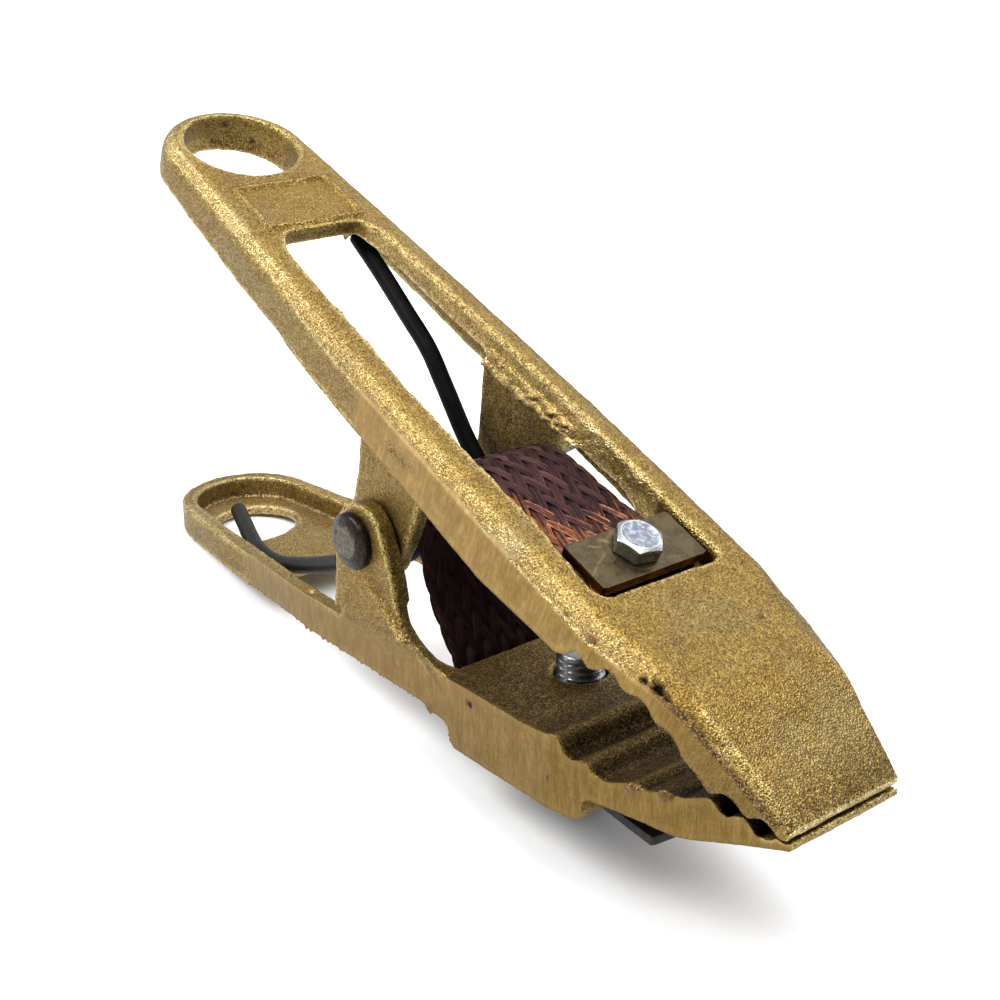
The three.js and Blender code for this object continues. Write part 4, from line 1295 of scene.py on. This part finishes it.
def make_strap_plate():
    points, faces = plate(
        STRAP_X0, STRAP_X1, -STRAP_HALF_Y, STRAP_HALF_Y, STRAP_TOP - STRAP_THICK, STRAP_TOP,
        hole=(58.64, 0), hole_radius=3.2, corner=0.5, bevel=0.22, rings=24)
    x, y, z = points.T                      # views, so z follows the waves in the sheet
    points[:, 2] += 0.05 * noise(points, 5.0, 61) * (z > STRAP_TOP - 0.5)
    on_top = rise(STRAP_TOP - 0.3, STRAP_TOP - 0.1, z)
    end_edge = (1 - on_top) * rise(65.6, 65.9, x)
    side_edge = (1 - on_top) * fall(65.6, 65.9, x)
    # broken ring mark around the bolt
    marks = (bell((np.hypot(x - 58.64, y + 0.3) - 6.3) / 0.22) * 0.30
             * rise(-0.5, 0.6, noise(points, 3.0, 62) + 0.2 * np.sign(-y)))
    for x0, y0, x1, y1, width, strength in SCRATCHES:
        length = np.linalg.norm([x1 - x0, y1 - y0])
        dx, dy = (x1 - x0) / length, (y1 - y0) / length
        t = (x - x0) * dx + (y - y0) * dy
        off = np.abs(-(x - x0) * dy + (y - y0) * dx + 0.25 * noise(points, 1.2, 63))
        marks += (strength * bell(off / width) * rise(-0.3, 0.4, t)
                  * fall(length - 0.4, length + 0.3, t))
    make("strap_clamp_plate", points, faces, UPPER, BRONZE, "strap_plate", 30,
         # the edge mask carries painted light on the end face
         {"edge": np.clip(end_edge + side_edge * 0.5, 0, 1),
          "marks": np.clip(marks * on_top, 0, 1),
          # painted shadow on the sides toward -x, down in the recess
          "flank_shadow": side_edge * fall(57.0, 63.0, x) * 0.9})


def make_cable_plate():
    """plate under the lower jaw, turned a little about the cable bolt"""
    points, faces = plate(-13.5, 40.0, -9.2, 9.2, cable_bottom, cable_top, hole=(0, 0),
                          hole_radius=6.15, corner=0.8, bevel=0.25, rings=16)
    x, y, z = points.T
    c, s = math.cos(math.radians(-7)), math.sin(math.radians(-7))
    points = np.stack([CABLE_X + x * c - y * s, CABLE_Y + x * s + y * c, z], 1)
    # near black, as painted shade under the lower jaw
    make("cable_clamp_plate", points, faces, LOWER, PLATE_SHADE, "cable_plate", 30)


make_strap_plate()
make_cable_plate()

# ================================================================ pivot rivet and washer
SEAT_Y = 25.6                               # |y| of the faces under the rivet's ends
HEAD_Y = -SEAT_Y - 2.9                      # top of the factory head, on the near side
# radius, y
RIVET = [(0, HEAD_Y - 0.02), (1.2, HEAD_Y), (3.0, HEAD_Y + 0.02), (4.3, HEAD_Y + 0.06),
         (4.75, HEAD_Y + 0.16), (5.6, HEAD_Y + 0.42), (6.35, HEAD_Y + 0.74),
         (6.8, HEAD_Y + 1.02), (7.0, HEAD_Y + 1.32), (7.08, -SEAT_Y - 0.7),
         (6.95, -SEAT_Y - 0.08), (6.7, -SEAT_Y), (4.0, -SEAT_Y),
         (4.0, SEAT_Y + 0.8), (5.5, SEAT_Y + 0.8), (5.85, SEAT_Y + 1.0), (5.75, SEAT_Y + 1.35),
         (5.1, SEAT_Y + 1.75), (4.2, SEAT_Y + 1.95), (2.6, SEAT_Y + 2.0), (0, SEAT_Y + 2.0)]
WASHER_Y0, WASHER_Y1 = 25.54, 26.34
WASHER = [(4.15, WASHER_Y0), (6.9, WASHER_Y0), (7.05, WASHER_Y0 + 0.12),
          (7.05, WASHER_Y1 - 0.12), (6.9, WASHER_Y1), (4.15, WASHER_Y1)]


def make_rivet():
    """factory head on the near side, peened end over the washer on the far side"""
    points, faces = lathe(RIVET, 96)
    radius = np.hypot(points[:, 0], points[:, 2])
    dents = np.abs(0.10 * noise(points, 1.6, 71) + 0.05 * noise(points, 0.7, 72))
    outer = rise(26.2, 27.0, np.abs(points[:, 1])) * (1 - rise(5.0, 7.0, radius) * 0.6)
    points[:, 1] -= np.sign(points[:, 1]) * dents * outer
    worn = (fall(3.4, 5.0, radius + 0.9 * noise(points, 2.3, 73))
            * rise(26.5, 27.0, -points[:, 1]))
    make("rivet", points, faces, LOWER, STEEL, "pivot_rivet", 38, {"worn": worn})


def make_washer():
    points, faces = lathe(WASHER, 72)
    make("washer", points, faces, LOWER, STEEL, "pivot_washer", 38,
         {"worn": np.full(len(points), 0.35)})


make_rivet()
make_washer()

# ================================================================ camera
# right, down and forward directions of the camera, and its place, in the upper frame
CAMERA_AXES = np.array([[0.58323831, 0.77654357, 0.23835511],
                        [0.62296721, -0.23929619, -0.74474774],
                        [-0.5212916, 0.58285283, -0.62332788]])
CAMERA_PLACE = (218.18, -223.80, 257.88)

lens = bpy.data.cameras.new("camera")
camera = link(bpy.data.objects.new("camera", lens))
right, down, forward = (UPPER.axes @ axis for axis in CAMERA_AXES)
columns = np.column_stack([right, -down, -forward, UPPER.world(CAMERA_PLACE)])
camera.matrix_world = Matrix([*columns.tolist(), [0, 0, 0, 1]])
lens.sensor_width = 36
lens.lens = 58.962
lens.shift_x = -0.0009
lens.shift_y = 0.00355
lens.clip_start = 0.01
lens.clip_end = 10
bpy.context.scene.camera = camera


# ================================================================ stage and light
def make_floor():
    bm = bmesh.new()
    bmesh.ops.create_grid(bm, x_segments=1, y_segments=1, size=3)
    mesh = bpy.data.meshes.new("floor")
    bm.to_mesh(mesh)
    bm.free()
    floor = link(bpy.data.objects.new("floor", mesh))
    m = Shader(bpy.data.materials.new("floor"))
    mottle = m.noise(m.node("ShaderNodeTexCoord", output="Object"), scale=60.0)
    color = m.mix(mottle.fade(0.3, 0.7), (0.90, 0.90, 0.90), (0.87, 0.87, 0.875))
    mesh.materials.append(m.finish(color, rough=0.9, metal=0.0, specular=0.2))


def make_world():
    """soft white sky, greyer towards the horizon"""
    world = bpy.data.worlds.new("world")
    bpy.context.scene.world = world
    sky = Shader(world)
    direction = sky.node("ShaderNodeTexCoord", output="Generated")
    height = sky.node("ShaderNodeSeparateXYZ", {0: direction}, output=2)
    background = sky.tree.nodes["Background"].inputs
    sky.put(background["Color"], height.ramp(
        (0.0, (0.50, 0.51, 0.53)), (0.35, (0.62, 0.63, 0.65)), (0.9, (1.0, 1.0, 1.0))))
    sky.put(background["Strength"], 0.72)


def area_light(name, place, target, size, power):
    """place, target and size in metres, power in watts"""
    light = bpy.data.lights.new(name, "AREA")
    light.size = size
    light.energy = power
    ob = link(bpy.data.objects.new(name, light))
    ob.location = place
    ob.rotation_mode = "QUATERNION"
    ob.rotation_quaternion = (Vector(target) - Vector(place)).to_track_quat("-Z", "Y")


make_floor()
make_world()
area_light("key", (-0.35, -0.60, 0.70), target=(0, 0, 0.04), size=0.45, power=11)
area_light("back", (-0.28, 0.85, 0.95), target=(0, 0, 0.05), size=1.4, power=12)
area_light("top", (0.15, 0.1, 1.1), target=(0, 0, 0.0), size=0.7, power=8)
bpy.context.scene.view_settings.view_transform = "Standard"
